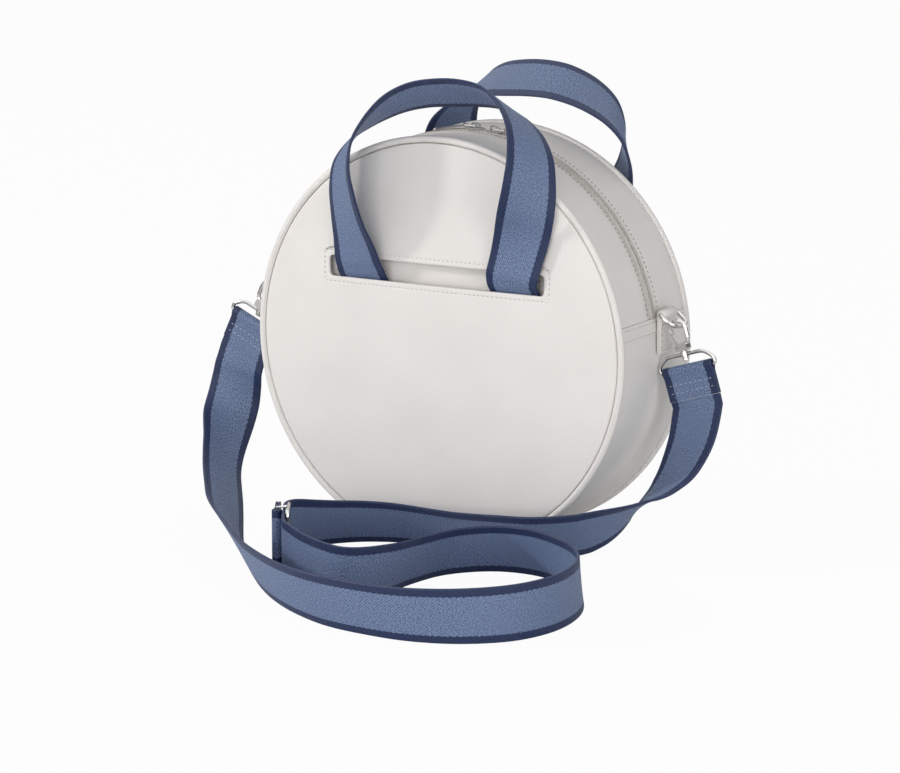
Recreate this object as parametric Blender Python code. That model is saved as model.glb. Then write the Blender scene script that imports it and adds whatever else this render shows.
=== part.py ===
"""A round travel bag on its pressed-flat rim, with webbing handles, a zip and a clipped shoulder strap.

The origin is at the centre of the flat on the floor. The front faces -Y and +Z is up. Lengths are in metres.
"""

import math

import bmesh
import bpy
from mathutils import Vector

# Driving sizes of the bag
BAG_DIAMETER = 0.300
BAG_DEPTH = 0.105
RIM_PRESS = 0.005  # how far the rim is pressed flat where the bag stands
BEND_RISE = 0.025  # the line where the opened front bends, above the middle of the drum
GAP = 0.0003  # clearance between pieces that touch or are sewn together
OVERRUN = 0.010  # how far a cutter passes beyond what it cuts

# Piping, gusset and panels
PIPING_RADIUS = 0.0025
GUSSET_WALL = 0.003
GUSSET_STEP = 0.0015  # the gusset's face lies this much inside the crown of the piping
PANEL_WALL = 0.003
PANEL_CROWN = 0.004
CROWN_SHARES = (0.35, 0.65, 0.88, 1.0)  # of the radius, where the crown's rings lie
BOARD_WALL = 0.003
BOARD_EDGE_GAP = 0.0032  # room beside the board, inside the piping
BOARD_RISE = 0.018  # height of the board's curved-up ends

# Slit and pocket for the handles
SLIT_LENGTH = 0.176
SLIT_HEIGHT = 0.0152
SLIT_ABOVE_CENTRE = 0.051
SLIT_CORNER_SHARE = 0.3  # of the slit's height
POCKET_WALL = 0.0015
POCKET_DEPTH = 0.0042
POCKET_MARGIN = 0.008
POCKET_BELOW = 0.014
POCKET_ABOVE = 0.012

# Zip
ZIP_WIDTH = 0.011
ZIP_SLOT = 0.0016
TAPE_WALL = 0.0012
TAPE_DROP = 0.0007  # the tape lies this much below the gusset's face
BEAD_WIDTH = 0.0018
BEAD_HEIGHT = 0.0010

# Slider, its ring and its pull
SLIDER_LENGTH = 0.012
SLIDER_WIDTH = 0.0084
SLIDER_NOSE_WIDTH = 0.0056
SLIDER_PLATE = 0.0012
SLIDER_POST_LENGTH = 0.004
SLIDER_POST_WIDTH = 0.0009
BRIDGE_HEIGHT = 0.0034
BRIDGE_WIDTH = 0.0022
BRIDGE_WALL = 0.0010
BRIDGE_REACH_SHARE = 0.62  # of half the slider
SLIDER_SPACING = 0.0155
SLIDERS_RIGHT_OF_TOP = 0.010
RING_WIRE = 0.0006
RING_LENGTH = 0.0095
RING_WIDTH = 0.0064
PULL_LENGTH = 0.027
PULL_WIDTH = 0.0066
PULL_WALL = 0.0016
PULL_SLOT_LENGTH = 0.0165
PULL_SLOT_WIDTH = 0.0026
SLOT_ROUND_SHARE = 0.49  # of the slot's width
PULL_BARREL = 0.0019
PULL_BARREL_WIDTH = 0.0024
PULL_REST_TILT = 11.5  # degrees that the pull hangs below its ring, to lie on the zip

# Webbing
WEBBING_WIDTH = 0.040
WEBBING_WALL = 0.002
HANDLE_STANDOFF = 0.0012  # air between the panel's face and the webbing at the slit
HANDLE_ROOT_DROP = 0.0145
HANDLE_ROOT_DIP = 38  # degrees that the webbing dips into the slit
ROOT_LIP_SHARE = 0.8  # of the way in, where the root reaches the slit's lower lip
ROOT_BEND_SHARES = (0.66, 0.83)  # of the root's drop, where it turns down the pocket
ROUND_END_DEGREES = (30, 60, 80)

# Side tabs and D-rings
TAB_WIDTH = 0.020
TAB_WALL = 0.0016
TAB_LENGTH = 0.028
TAB_OFF_MIDDLE = 0.010
RING_BAR_ABOVE_BEND = 0.003
DRING_WIRE = 0.0015
DRING_INNER = 0.0216
DRING_DROP = 0.0140
DRING_ROUND = 0.7  # power that squares the D's round side
DRING_SWING = {-1: 62, 1: 55}  # degrees outward, on the left and on the right

# Snap hooks and their swivel loops
HOOK_WIRE = 0.0016
HOOK_EYE_WIDTH = 0.0120
HOOK_TILT = {-1: 25, 1: 17}  # degrees outward
HOOK_SHIFT = 0.006  # the hook hangs this much towards the front of its D-ring
HOOK_PLAY = 0.0008
HOOK_BOSS_START = 0.0118
HOOK_BOSS_LENGTH = 0.0056
HOOK_BOSS_WIDTH = 0.0096
HOOK_BOSS_DEPTH = 0.0068
HOOK_BOSS_ROUND = 0.0015
HOOK_HEAD = 0.0021
HOOK_HEAD_WALL = 0.0012
NECK_ROOT_SHARE = 0.3  # of the eye's radius: where the neck leaves the boss, and how it flares out to the eye
NECK_FLARE_SHARES = (0.85, 0.1)
NECK_DROP_SHARE = 0.5
GATE_WALL = 0.0024
GATE_WIDTH = 0.0030
PIN_RADIUS = 0.0007
PIN_OFF_AXIS = 0.0027
SWIVEL_RADIUS = 0.0026
SWIVEL_LENGTH = 0.0048
SWIVEL_PIN = 0.0012
LOOP_WIRE = 0.0014
LOOP_TOP_WIDTH = 0.0300
LOOP_BAR_WIDTH = 0.0440
LOOP_HEIGHT = 0.0105
LOOP_FLARE_SHARE = 0.4  # of the wire, how far the loop's shoulder flares
SLEEVE_LENGTH = 0.021
STRAP_LEAD = 0.006  # how far the webbing runs straight out of its sewn end

# Adjuster
ADJUSTER_LENGTH = 0.029
ADJUSTER_WIRE = 0.0014
ADJUSTER_TAIL = 0.024
ADJUSTER_ROUND = 0.0040
ADJUSTER_PLACE_SHARES = (-0.182, -0.562)  # of the bag's diameter, in plan
ADJUSTER_LINE = (-0.505, 0.863)

# Places that follow from the sizes
RIM_RADIUS = BAG_DIAMETER / 2
CENTRE_Z = RIM_RADIUS - RIM_PRESS
BEND_Z = CENTRE_Z + BEND_RISE
RING_BAR_HEIGHT = BEND_Z + RING_BAR_ABOVE_BEND
PIPING_LINE = RIM_RADIUS - PIPING_RADIUS
PIPING_Y = BAG_DEPTH / 2 - PIPING_RADIUS
GUSSET_OUTER = RIM_RADIUS - GUSSET_STEP
GUSSET_INNER = GUSSET_OUTER - GUSSET_WALL
GUSSET_EDGE = PIPING_Y - PIPING_RADIUS - GAP
BOARD_WIDTH = 2 * (GUSSET_EDGE - BOARD_EDGE_GAP)
PANEL_RADIUS = PIPING_LINE - PIPING_RADIUS - GAP
PANEL_EDGE_Y = PIPING_Y + PANEL_WALL / 2
FRONT_REACH = PANEL_EDGE_Y + PANEL_CROWN
SLIT_Z = CENTRE_Z + SLIT_ABOVE_CENTRE
TAPE_OUTER = GUSSET_OUTER - TAPE_DROP
TAPE_INNER = TAPE_OUTER - TAPE_WALL
BEAD_TOP = TAPE_OUTER + BEAD_HEIGHT

# The front handle from its left end: x in shares of the slit, then how far it stands forward and how high
# it rises in shares of the diameter, then its across direction
HANDLE_SHARES = (
    (-0.346, 0.000, 0.000, -1, 0, 0),
    (-0.353, 0.016, 0.062, -0.97, 0.22, 0.02),
    (-0.361, 0.038, 0.124, -0.9, 0.4, 0.08),
    (-0.366, 0.055, 0.189, -0.85, 0.52, 0.1),
    (-0.361, 0.061, 0.255, -0.72, 0.68, 0.06),
    (-0.327, 0.048, 0.315, -0.5, 0.86, -0.08),
    (-0.261, 0.025, 0.363, -0.28, 0.93, -0.22),
    (-0.179, 0.002, 0.401, -0.1, 0.92, -0.38),
    (-0.078, -0.014, 0.424, 0, 0.86, -0.5),
    (0.032, -0.022, 0.433, 0, 0.82, -0.57),
    (0.145, -0.025, 0.436, 0, 0.83, -0.56),
    (0.256, -0.022, 0.429, 0, 0.87, -0.5),
    (0.358, -0.004, 0.404, 0.05, 0.92, -0.38),
    (0.438, 0.019, 0.363, 0.2, 0.94, -0.27),
    (0.482, 0.038, 0.306, 0.42, 0.9, -0.12),
    (0.486, 0.046, 0.242, 0.62, 0.78, -0.08),
    (0.464, 0.038, 0.178, 0.82, 0.56, -0.1),
    (0.424, 0.015, 0.119, 0.95, 0.25, -0.2),
    (0.387, 0.003, 0.059, 0.97, 0.06, -0.25),
    (0.356, 0.000, 0.000, 1, 0, 0),
)

# The shoulder strap from the left hook to the right one: its centre in shares of the diameter, then its across
# direction
STRAP_SHARES = (
    (-0.638, -0.053, 0.350, -0.98, 0, 0.2),
    (-0.648, -0.057, 0.299, -1, 0.05, 0.05),
    (-0.652, -0.077, 0.247, -1, 0, -0.05),
    (-0.650, -0.100, 0.203, -0.98, -0.08, 0.05),
    (-0.639, -0.131, 0.161, -0.92, -0.18, 0.2),
    (-0.620, -0.169, 0.127, -0.8, -0.32, 0.42),
    (-0.591, -0.213, 0.107, -0.65, -0.43, 0.6),
    (-0.556, -0.260, 0.095, -0.55, -0.45, 0.7),
    (-0.519, -0.310, 0.084, -0.5, -0.45, 0.72),
    (-0.453, -0.406, 0.068, -0.4, -0.4, 0.8),
    (-0.379, -0.500, 0.061, -0.4, -0.3, 0.8),
    (-0.301, -0.591, 0.060, -0.4, -0.3, 0.9),
    (-0.221, -0.681, 0.061, -0.3, -0.3, 0.9),
    (-0.139, -0.768, 0.062, -0.3, -0.3, 0.9),
    (-0.050, -0.848, 0.064, -0.2, -0.3, 0.9),
    (0.048, -0.917, 0.065, -0.2, -0.3, 0.9),
    (0.158, -0.966, 0.064, -0.1, -0.3, 0.9),
    (0.276, -0.990, 0.065, 0, -0.3, 0.9),
    (0.396, -0.987, 0.065, 0, -0.3, 1),
    (0.510, -0.945, 0.066, 0.1, -0.2, 1),
    (0.599, -0.862, 0.067, 0.1, -0.1, 1),
    (0.638, -0.747, 0.068, 0.1, 0, 1),
    (0.626, -0.624, 0.069, 0, 0, 1),
    (0.570, -0.512, 0.068, -0.1, -0.1, 1),
    (0.484, -0.420, 0.065, -0.2, -0.2, 0.9),
    (0.378, -0.358, 0.064, -0.1, -0.4, 0.9),
    (0.272, -0.358, 0.062, 0.2, -0.4, 0.9),
    (0.198, -0.433, 0.062, 0.4, -0.2, 0.9),
    (0.173, -0.546, 0.063, 0.4, 0, 0.9),
    (0.160, -0.666, 0.065, 0.3, -0.1, 1),
    (0.103, -0.760, 0.066, 0.1, -0.1, 1),
    (-0.007, -0.741, 0.072, 0.1, 0.1, 1),
    (-0.102, -0.677, 0.078, 0, 0, 1),
    (-0.142, -0.630, 0.078, 0, 0, 1),
    (-0.182, -0.562, 0.078, 0, 0, 1),
    (-0.222, -0.493, 0.078, 0, 0, 1),
    (-0.232, -0.417, 0.070, 0.3, -0.1, 0.9),
    (-0.202, -0.336, 0.062, 0.4, -0.2, 0.9),
    (-0.146, -0.273, 0.059, 0.3, -0.4, 0.8),
    (-0.067, -0.240, 0.058, 0.1, -0.5, 0.8),
    (0.027, -0.230, 0.057, 0, -0.6, 0.8),
    (0.122, -0.234, 0.057, 0, -0.6, 0.8),
    (0.218, -0.240, 0.060, -0.1, -0.5, 0.9),
    (0.313, -0.239, 0.066, -0.1, -0.5, 0.9),
    (0.403, -0.218, 0.081, 0, -0.6, 0.8),
    (0.443, -0.197, 0.094, 0.1, -0.6, 0.8),
    (0.478, -0.170, 0.111, 0.3, -0.7, 0.7),
    (0.508, -0.140, 0.132, 0.5, -0.7, 0.5),
    (0.532, -0.108, 0.156, 0.7, -0.7, 0.3),
    (0.560, -0.077, 0.186, 0.8, -0.55, 0.1),
    (0.580, -0.045, 0.224, 0.9, -0.33, 0.08),
    (0.597, -0.012, 0.292, 0.96, -0.08, 0.2),
)

# Counts of facets
RIM_STEPS = 80
END_FACET_SHARE = 0.3
POCKET_COLUMNS = 12
POCKET_ROWS = 4


def clear_scene():
    for item in list(bpy.data.objects):
        bpy.data.objects.remove(item, do_unlink=True)


def principled(name, colour, roughness, metallic):
    material = bpy.data.materials.new(name)
    material.use_nodes = True
    shader = material.node_tree.nodes["Principled BSDF"]
    shader.inputs["Base Color"].default_value = (*colour, 1.0)
    shader.inputs["Roughness"].default_value = roughness
    shader.inputs["Metallic"].default_value = metallic
    material.diffuse_color = (*colour, 1.0)
    return material


def make_materials():
    return {
        "leather": principled("leather", (0.75, 0.72, 0.70), 0.5, 0.0),
        "piping": principled("piping", (0.72, 0.69, 0.67), 0.5, 0.0),
        "webbing": principled("webbing", (0.15, 0.23, 0.42), 0.9, 0.0),
        "zip_tape": principled("zip_tape", (0.62, 0.59, 0.57), 0.8, 0.0),
        "metal": principled("metal", (0.80, 0.80, 0.80), 0.2, 1.0),
        "board": principled("board", (0.20, 0.19, 0.18), 0.9, 0.0),
    }


def add_object(name, mesh, material, smooth_angle=35):
    thing = bpy.data.objects.new(name, mesh)
    bpy.context.collection.objects.link(thing)
    mesh.materials.append(material)
    mesh.shade_smooth()
    mesh.set_sharp_from_angle(angle=math.radians(smooth_angle))
    return thing


def mesh_from(name, points, faces):
    """A mesh of these faces, with its normals turned outward."""
    shape = bmesh.new()
    corners = [shape.verts.new(point) for point in points]
    for face in faces:
        shape.faces.new([corners[index] for index in face])
    bmesh.ops.recalc_face_normals(shape, faces=shape.faces)
    mesh = bpy.data.meshes.new(name)
    shape.to_mesh(mesh)
    shape.free()
    return mesh


def ring_faces(rings, corners, closed):
    """Faces that join rings of points, with a cap on each end unless the rings close on themselves."""
    faces = []
    for ring in range(rings if closed else rings - 1):
        here = ring * corners
        after = (ring + 1) % rings * corners
        for corner in range(corners):
            following = (corner + 1) % corners
            faces.append((here + corner, here + following, after + following, after + corner))
    if not closed:
        faces.append(tuple(range(corners)))
        faces.append(tuple((rings - 1) * corners + corner for corner in range(corners)))
    return faces


def as_cutter(thing):
    thing.hide_render = True
    thing.display_type = "WIRE"
    return thing


def cut(thing, cutter, operation="DIFFERENCE"):
    modifier = thing.modifiers.new(cutter.name, "BOOLEAN")
    modifier.operation = operation
    modifier.object = cutter
    return thing


def box_mesh(name, low, high):
    points = [(x, y, z) for x in (low[0], high[0]) for y in (low[1], high[1]) for z in (low[2], high[2])]
    faces = [(0, 1, 3, 2), (4, 6, 7, 5), (0, 4, 5, 1), (2, 3, 7, 6), (0, 2, 6, 4), (1, 5, 7, 3)]
    return mesh_from(name, points, faces)


def box_cutter(name, low, high, material):
    return as_cutter(add_object(name, box_mesh(name, low, high), material))


def extruded(name, outline, origin, right, up, depth_axis, depth, material):
    """A flat outline in the plane of right and up, thickened evenly to both sides along the depth axis."""
    half = depth_axis.normalized() * (depth / 2)
    points = []
    for side in (-1, 1):
        points += [origin + right * a + up * b + half * side for a, b in outline]
    count = len(outline)
    return add_object(name, mesh_from(name, points, ring_faces(2, count, False)), material)


def arc(centre, radius, start, end, steps):
    """Points of a circle's arc, from one angle to another in degrees."""
    return [
        (
            centre[0] + radius * math.cos(math.radians(start + (end - start) * step / steps)),
            centre[1] + radius * math.sin(math.radians(start + (end - start) * step / steps)),
        )
        for step in range(steps + 1)
    ]


def rounded_box(width, height, radius, steps=4):
    """A rounded rectangle about zero, counter-clockwise."""
    across, rise = width / 2 - radius, height / 2 - radius
    points = []
    for centre, start in (((across, -rise), -90), ((across, rise), 0), ((-across, rise), 90), ((-across, -rise), 180)):
        points += arc(centre, radius, start, start + 90, steps)
    return points


def wire_mesh(name, points, radius, closed=False, sides=8):
    """Round wire along these points, with its rings square to the line."""
    count = len(points)
    tangents = []
    for index in range(count):
        before = points[index - 1] if closed or index else points[index]
        after = points[(index + 1) % count] if closed or index < count - 1 else points[index]
        tangents.append((after - before).normalized())
    normal = tangents[0].orthogonal().normalized()
    normals = []
    for tangent in tangents:
        normal = (normal - tangent * normal.dot(tangent)).normalized()
        normals.append(normal)
    twist = 0
    if closed:
        last = (normals[-1] - tangents[0] * normals[-1].dot(tangents[0])).normalized()
        twist = math.atan2(last.cross(normals[0]).dot(tangents[0]), last.dot(normals[0]))
    corners = []
    for index in range(count):
        across = tangents[index].cross(normals[index])
        for side in range(sides):
            turn = math.tau * side / sides + twist * index / count
            offset = normals[index] * math.cos(turn) + across * math.sin(turn)
            corners.append(points[index] + offset * radius)
    return mesh_from(name, corners, ring_faces(count, sides, closed))


def tube(name, points, radius, material, closed=False, sides=8):
    return add_object(name, wire_mesh(name, points, radius, closed, sides), material, smooth_angle=60)


def rim_point(radius, angle, y, outer):
    """A point on the drum's outline, which is pressed flat at the floor."""
    pressed = outer - radius
    return Vector((radius * math.cos(angle), y, max(CENTRE_Z + radius * math.sin(angle), pressed)))


def bend_angle(radius, height):
    return math.asin((height - CENTRE_Z) / radius)


def inner_angles(start, end):
    """The drum's common facet angles that lie well inside this stretch."""
    facet = math.tau / RIM_STEPS
    low, high = sorted((start, end))
    first, last = math.ceil(low / facet + END_FACET_SHARE), math.floor(high / facet - END_FACET_SHARE)
    angles = [facet * index for index in range(first, last + 1)]
    return angles if start < end else angles[::-1]


def rim_strip(name, profile, outer, height, above, material):
    """A strip of the drum's side with this profile of (radius, y), above or below a level cut."""
    middle_radius = sum(radius for radius, _ in profile) / len(profile)
    start = bend_angle(middle_radius, height)
    end = math.pi - start if above else -math.pi - start
    rings = [None] + inner_angles(start, end) + [None]
    points = []
    for index, angle in enumerate(rings):
        for radius, y in profile:
            own_start = bend_angle(radius, height)
            own_end = math.pi - own_start if above else -math.pi - own_start
            turn = angle if angle is not None else (own_end if index else own_start)
            points.append(rim_point(radius, turn, y, outer))
    mesh = mesh_from(name, points, ring_faces(len(rings), len(profile), False))
    return add_object(name, mesh, material)


def crown_y(x, z):
    """How far the panel's face lies from the mid-plane."""
    share = min(1.0, math.hypot(x, z - CENTRE_Z) / PANEL_RADIUS)
    return PANEL_EDGE_Y + PANEL_CROWN * (1 - share * share)


def crowned_panel(name, side, material):
    """A round panel with a slight crown; side is -1 for the front and 1 for the back."""
    points = [Vector((0, side * crown_y(0, CENTRE_Z), CENTRE_Z))]
    for share in CROWN_SHARES:
        for step in range(RIM_STEPS):
            flat = rim_point(PANEL_RADIUS * share, math.tau * step / RIM_STEPS, 0, RIM_RADIUS)
            points.append(Vector((flat.x, side * crown_y(flat.x, flat.z), flat.z)))
    count = len(points)
    points += [Vector((point.x, point.y - side * PANEL_WALL, point.z)) for point in points]
    faces = []
    for base in (0, count):
        for step in range(RIM_STEPS):
            after = (step + 1) % RIM_STEPS
            faces.append((base, base + 1 + step, base + 1 + after))
            for ring in range(len(CROWN_SHARES) - 1):
                inner = base + 1 + ring * RIM_STEPS
                outer = inner + RIM_STEPS
                faces.append((inner + step, outer + step, outer + after, inner + after))
    rim = 1 + (len(CROWN_SHARES) - 1) * RIM_STEPS
    for step in range(RIM_STEPS):
        after = (step + 1) % RIM_STEPS
        faces.append((rim + step, rim + after, count + rim + after, count + rim + step))
    return add_object(name, mesh_from(name, points, faces), material)


def slit_cutter(name, side, material):
    outline = rounded_box(SLIT_LENGTH, SLIT_HEIGHT, SLIT_HEIGHT * SLIT_CORNER_SHARE)
    origin = Vector((0, side * PANEL_EDGE_Y, SLIT_Z))
    depth = Vector((0, 1, 0))
    thing = extruded(name, outline, origin, Vector((1, 0, 0)), Vector((0, 0, 1)), depth, OVERRUN * 2, material)
    return as_cutter(thing)


def make_panels(materials):
    leather = materials["leather"]
    reach = BAG_DIAMETER
    below = box_cutter("cut_above_bend", (-reach, -reach, BEND_Z), (reach, reach, reach * 2), leather)
    above = box_cutter("cut_below_bend", (-reach, -reach, -reach), (reach, reach, BEND_Z + GAP), leather)
    front_slit = slit_cutter("front_slit_cutter", -1, leather)
    back_slit = slit_cutter("back_slit_cutter", 1, leather)
    cut(crowned_panel("front_panel_lower", -1, leather), below)
    cut(cut(crowned_panel("front_panel_upper", -1, leather), above), front_slit)
    cut(crowned_panel("back_panel", 1, leather), back_slit)


def make_pocket(name, side, material):
    """A shallow tray sewn behind the slit, open towards the panel."""
    half = SLIT_LENGTH / 2 + POCKET_MARGIN
    low, high = SLIT_Z - SLIT_HEIGHT / 2 - POCKET_BELOW, SLIT_Z + SLIT_HEIGHT / 2 + POCKET_ABOVE
    back = PANEL_EDGE_Y - PANEL_WALL - POCKET_DEPTH
    columns, rows = POCKET_COLUMNS, POCKET_ROWS
    points = []
    for column in range(columns + 1):
        x = -half + 2 * half * column / columns
        for row in range(rows + 1):
            z = low + (high - low) * row / rows
            points.append(Vector((x, side * (crown_y(x, z) - PANEL_WALL - GAP), z)))
    count = len(points)
    points += [Vector((point.x, side * back, point.z)) for point in points]
    faces = []
    for base in (0, count):
        for column in range(columns):
            for row in range(rows):
                corner = base + column * (rows + 1) + row
                faces.append((corner, corner + 1, corner + rows + 2, corner + rows + 1))
    border = [row for row in range(rows + 1)]
    border += [column * (rows + 1) + rows for column in range(1, columns + 1)]
    border += [columns * (rows + 1) + row for row in range(rows - 1, -1, -1)]
    border += [column * (rows + 1) for column in range(columns - 1, 0, -1)]
    for index, corner in enumerate(border):
        following = border[(index + 1) % len(border)]
        faces.append((corner, following, count + following, count + corner))
    pocket = add_object(name, mesh_from(name, points, faces), material)
    wall = POCKET_WALL * 2
    near, far = sorted((side * (back + POCKET_WALL), side * (FRONT_REACH + OVERRUN)))
    space = box_cutter(name + "_space", (-half + wall, near, low + wall), (half - wall, far, high - wall), material)
    return cut(pocket, space)


def make_piping(materials):
    piping = materials["piping"]
    reach = BAG_DIAMETER
    below = box_cutter("cut_piping_above", (-reach, -reach, BEND_Z), (reach, reach, reach * 2), piping)
    above = box_cutter("cut_piping_below", (-reach, -reach, -reach), (reach, reach, BEND_Z + GAP), piping)
    for name, side, cutter in (("front_piping_lower", -1, below), ("front_piping_upper", -1, above),
                               ("back_piping", 1, None)):
        facet = math.tau / RIM_STEPS
        line = [rim_point(PIPING_LINE, facet * step, side * PIPING_Y, RIM_RADIUS) for step in range(RIM_STEPS)]
        ring = tube(name, line, PIPING_RADIUS, piping, closed=True)
        if cutter:
            cut(ring, cutter)


def make_gusset(materials):
    leather = materials["leather"]
    lower_profile = [
        (GUSSET_OUTER, -GUSSET_EDGE), (GUSSET_OUTER, GUSSET_EDGE),
        (GUSSET_INNER, GUSSET_EDGE), (GUSSET_INNER, -GUSSET_EDGE),
    ]
    rim_strip("base_band", lower_profile, GUSSET_OUTER, BEND_Z, False, leather)
    inner_edge = ZIP_WIDTH / 2 + GAP
    for name, side in (("front_gusset_upper", -1), ("rear_gusset_upper", 1)):
        profile = [
            (GUSSET_OUTER, side * GUSSET_EDGE), (GUSSET_OUTER, side * inner_edge),
            (GUSSET_INNER, side * inner_edge), (GUSSET_INNER, side * GUSSET_EDGE),
        ]
        rim_strip(name, profile, GUSSET_OUTER, BEND_Z + GAP, True, leather)


def make_zip_tapes(materials):
    for name, side in (("front_zip_tape", -1), ("rear_zip_tape", 1)):
        slot, bead, edge = ZIP_SLOT / 2, ZIP_SLOT / 2 + BEAD_WIDTH, ZIP_WIDTH / 2
        profile = [
            (TAPE_INNER, side * slot), (BEAD_TOP, side * slot), (BEAD_TOP, side * bead),
            (TAPE_OUTER, side * bead), (TAPE_OUTER, side * edge), (TAPE_INNER, side * edge),
        ]
        rim_strip(name, profile, GUSSET_OUTER, BEND_Z + GAP, True, materials["zip_tape"])


def make_base_board(materials):
    """The stiffener on the inside of the base, curved up at both ends with the drum."""
    outer = GUSSET_INNER - GAP
    inner = outer - BOARD_WALL
    half = BOARD_WIDTH / 2
    profile = [(outer, -half), (outer, half), (inner, half), (inner, -half)]
    rim_strip("base_board", profile, GUSSET_OUTER, BOARD_RISE, False, materials["board"])


def local_frame(side):
    """Directions of a slider at the top of its half: along the zip, across it, and out of the drum."""
    x = SLIDERS_RIGHT_OF_TOP + side * SLIDER_SPACING / 2
    angle = math.acos(x / BEAD_TOP)
    out = Vector((math.cos(angle), 0, math.sin(angle)))
    along = Vector((math.sin(angle), 0, -math.cos(angle))) * side
    return along, Vector((0, 1, 0)), out


def make_slider(name, side, materials):
    metal = materials["metal"]
    along, across, out = local_frame(side)
    centre = Vector((0, 0, CENTRE_Z))
    half, wide, nose = SLIDER_LENGTH / 2, SLIDER_WIDTH / 2, SLIDER_NOSE_WIDTH / 2
    outline = [(-half, -nose), (half, -wide), (half, wide), (-half, nose)]
    plate_at = BEAD_TOP + GAP + SLIDER_PLATE / 2
    slider = extruded(name, outline, centre + out * plate_at, along, across, out, SLIDER_PLATE, metal)
    sag = half * half / (2 * TAPE_INNER)
    under_at = TAPE_INNER - GAP - sag - SLIDER_PLATE / 2
    post = SLIDER_POST_WIDTH / 2
    under = [(-half, -nose), (half, -wide), (half, post), (-half, post)]
    lower = extruded(name + "_under", under, centre + out * under_at, along, across, out, SLIDER_PLATE, metal)
    post_long = SLIDER_POST_LENGTH / 2
    post_outline = [(-post_long, -post), (post_long, -post), (post_long, post), (-post_long, post)]
    post_at, post_tall = (plate_at + under_at) / 2, plate_at - under_at
    column = extruded(name + "_post", post_outline, centre + out * post_at, along, across, out, post_tall, metal)
    arch, wall = half * BRIDGE_REACH_SHARE, BRIDGE_WALL
    root = -SLIDER_PLATE / 2
    bridge_outline = [
        (-arch, root), (-arch, BRIDGE_HEIGHT - wall), (-arch + wall, BRIDGE_HEIGHT), (arch - wall, BRIDGE_HEIGHT),
        (arch, BRIDGE_HEIGHT - wall), (arch, root), (arch - wall, root), (arch - wall, BRIDGE_HEIGHT - wall),
        (wall - arch, BRIDGE_HEIGHT - wall), (wall - arch, root),
    ]
    top = centre + out * (plate_at + SLIDER_PLATE / 2)
    bridge = extruded(name + "_bridge", bridge_outline, top, along, out, across, BRIDGE_WIDTH, metal)
    for piece in (lower, column, bridge):
        cut(slider, as_cutter(piece), "UNION")
    return top + out * (BRIDGE_HEIGHT - BRIDGE_WALL) / 2, along, across, out


def make_pull(name, pivot, along, across, out, metal):
    """A slotted pull on a small barrel that turns on the ring's far bar, lying down along the zip."""
    tilt = math.radians(PULL_REST_TILT)
    reach = along * math.cos(tilt) - out * math.sin(tilt)
    rise = along * math.sin(tilt) + out * math.cos(tilt)
    neck, wide = PULL_BARREL_WIDTH / 2, PULL_WIDTH / 2
    shoulder = PULL_BARREL + RING_WIRE
    outline = [(0, -neck), (shoulder, -neck), (shoulder + neck, -wide)]
    outline += arc((PULL_LENGTH - wide, 0), wide, -90, 90, 8)
    outline += [(shoulder + neck, wide), (shoulder, neck), (0, neck)]
    pull = extruded(name, outline, pivot, reach, across, rise, PULL_WALL, metal)
    barrel = extruded(name + "_barrel", arc((0, 0), PULL_BARREL, 0, 345, 15), pivot, reach, rise, across,
                      PULL_BARREL_WIDTH, metal)
    cut(pull, as_cutter(barrel), "UNION")
    bore = extruded(name + "_bore", arc((0, 0), RING_WIRE + GAP, 0, 330, 11), pivot, reach, rise, across,
                    PULL_WIDTH + OVERRUN, metal)
    cut(pull, as_cutter(bore))
    slot_centre = pivot + reach * (PULL_LENGTH - wide - PULL_SLOT_LENGTH / 2 + PULL_SLOT_WIDTH / 2)
    slot_outline = rounded_box(PULL_SLOT_LENGTH, PULL_SLOT_WIDTH, PULL_SLOT_WIDTH * SLOT_ROUND_SHARE)
    slot = extruded(name + "_slot", slot_outline, slot_centre, reach, across, rise, PULL_WALL + OVERRUN, metal)
    return cut(pull, as_cutter(slot))


def make_sliders(materials):
    for word, side in (("left", -1), ("right", 1)):
        pivot, along, across, out = make_slider(f"{word}_slider", side, materials)
        length, width = RING_LENGTH - 2 * RING_WIRE, RING_WIDTH - 2 * RING_WIRE
        centre = pivot + along * (length / 2)
        link = [centre + along * a + across * b for a, b in rounded_box(length, width, RING_WIRE * 2, 3)]
        tube(f"{word}_slider_ring", link, RING_WIRE, materials["metal"], closed=True, sides=6)
        make_pull(f"{word}_pull", pivot + along * length, along, across, out, materials["metal"])


def smooth_line(rows, pieces):
    """Points and directions on a smooth curve through these rows of six values."""
    result = []
    for index in range(len(rows) - 1):
        before, here = rows[max(index - 1, 0)], rows[index]
        after, beyond = rows[index + 1], rows[min(index + 2, len(rows) - 1)]
        for piece in range(pieces):
            t = piece / pieces
            row = []
            for a, b, c, d in zip(before, here, after, beyond):
                row.append(b + (c - a) * t / 2 + (2 * a - 5 * b + 4 * c - d) * t * t / 2
                           + (3 * b - a - 3 * c + d) * t * t * t / 2)
            result.append(row)
    result.append(list(rows[-1]))
    return [(Vector(row[:3]), Vector(row[3:]).normalized()) for row in result]


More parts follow.
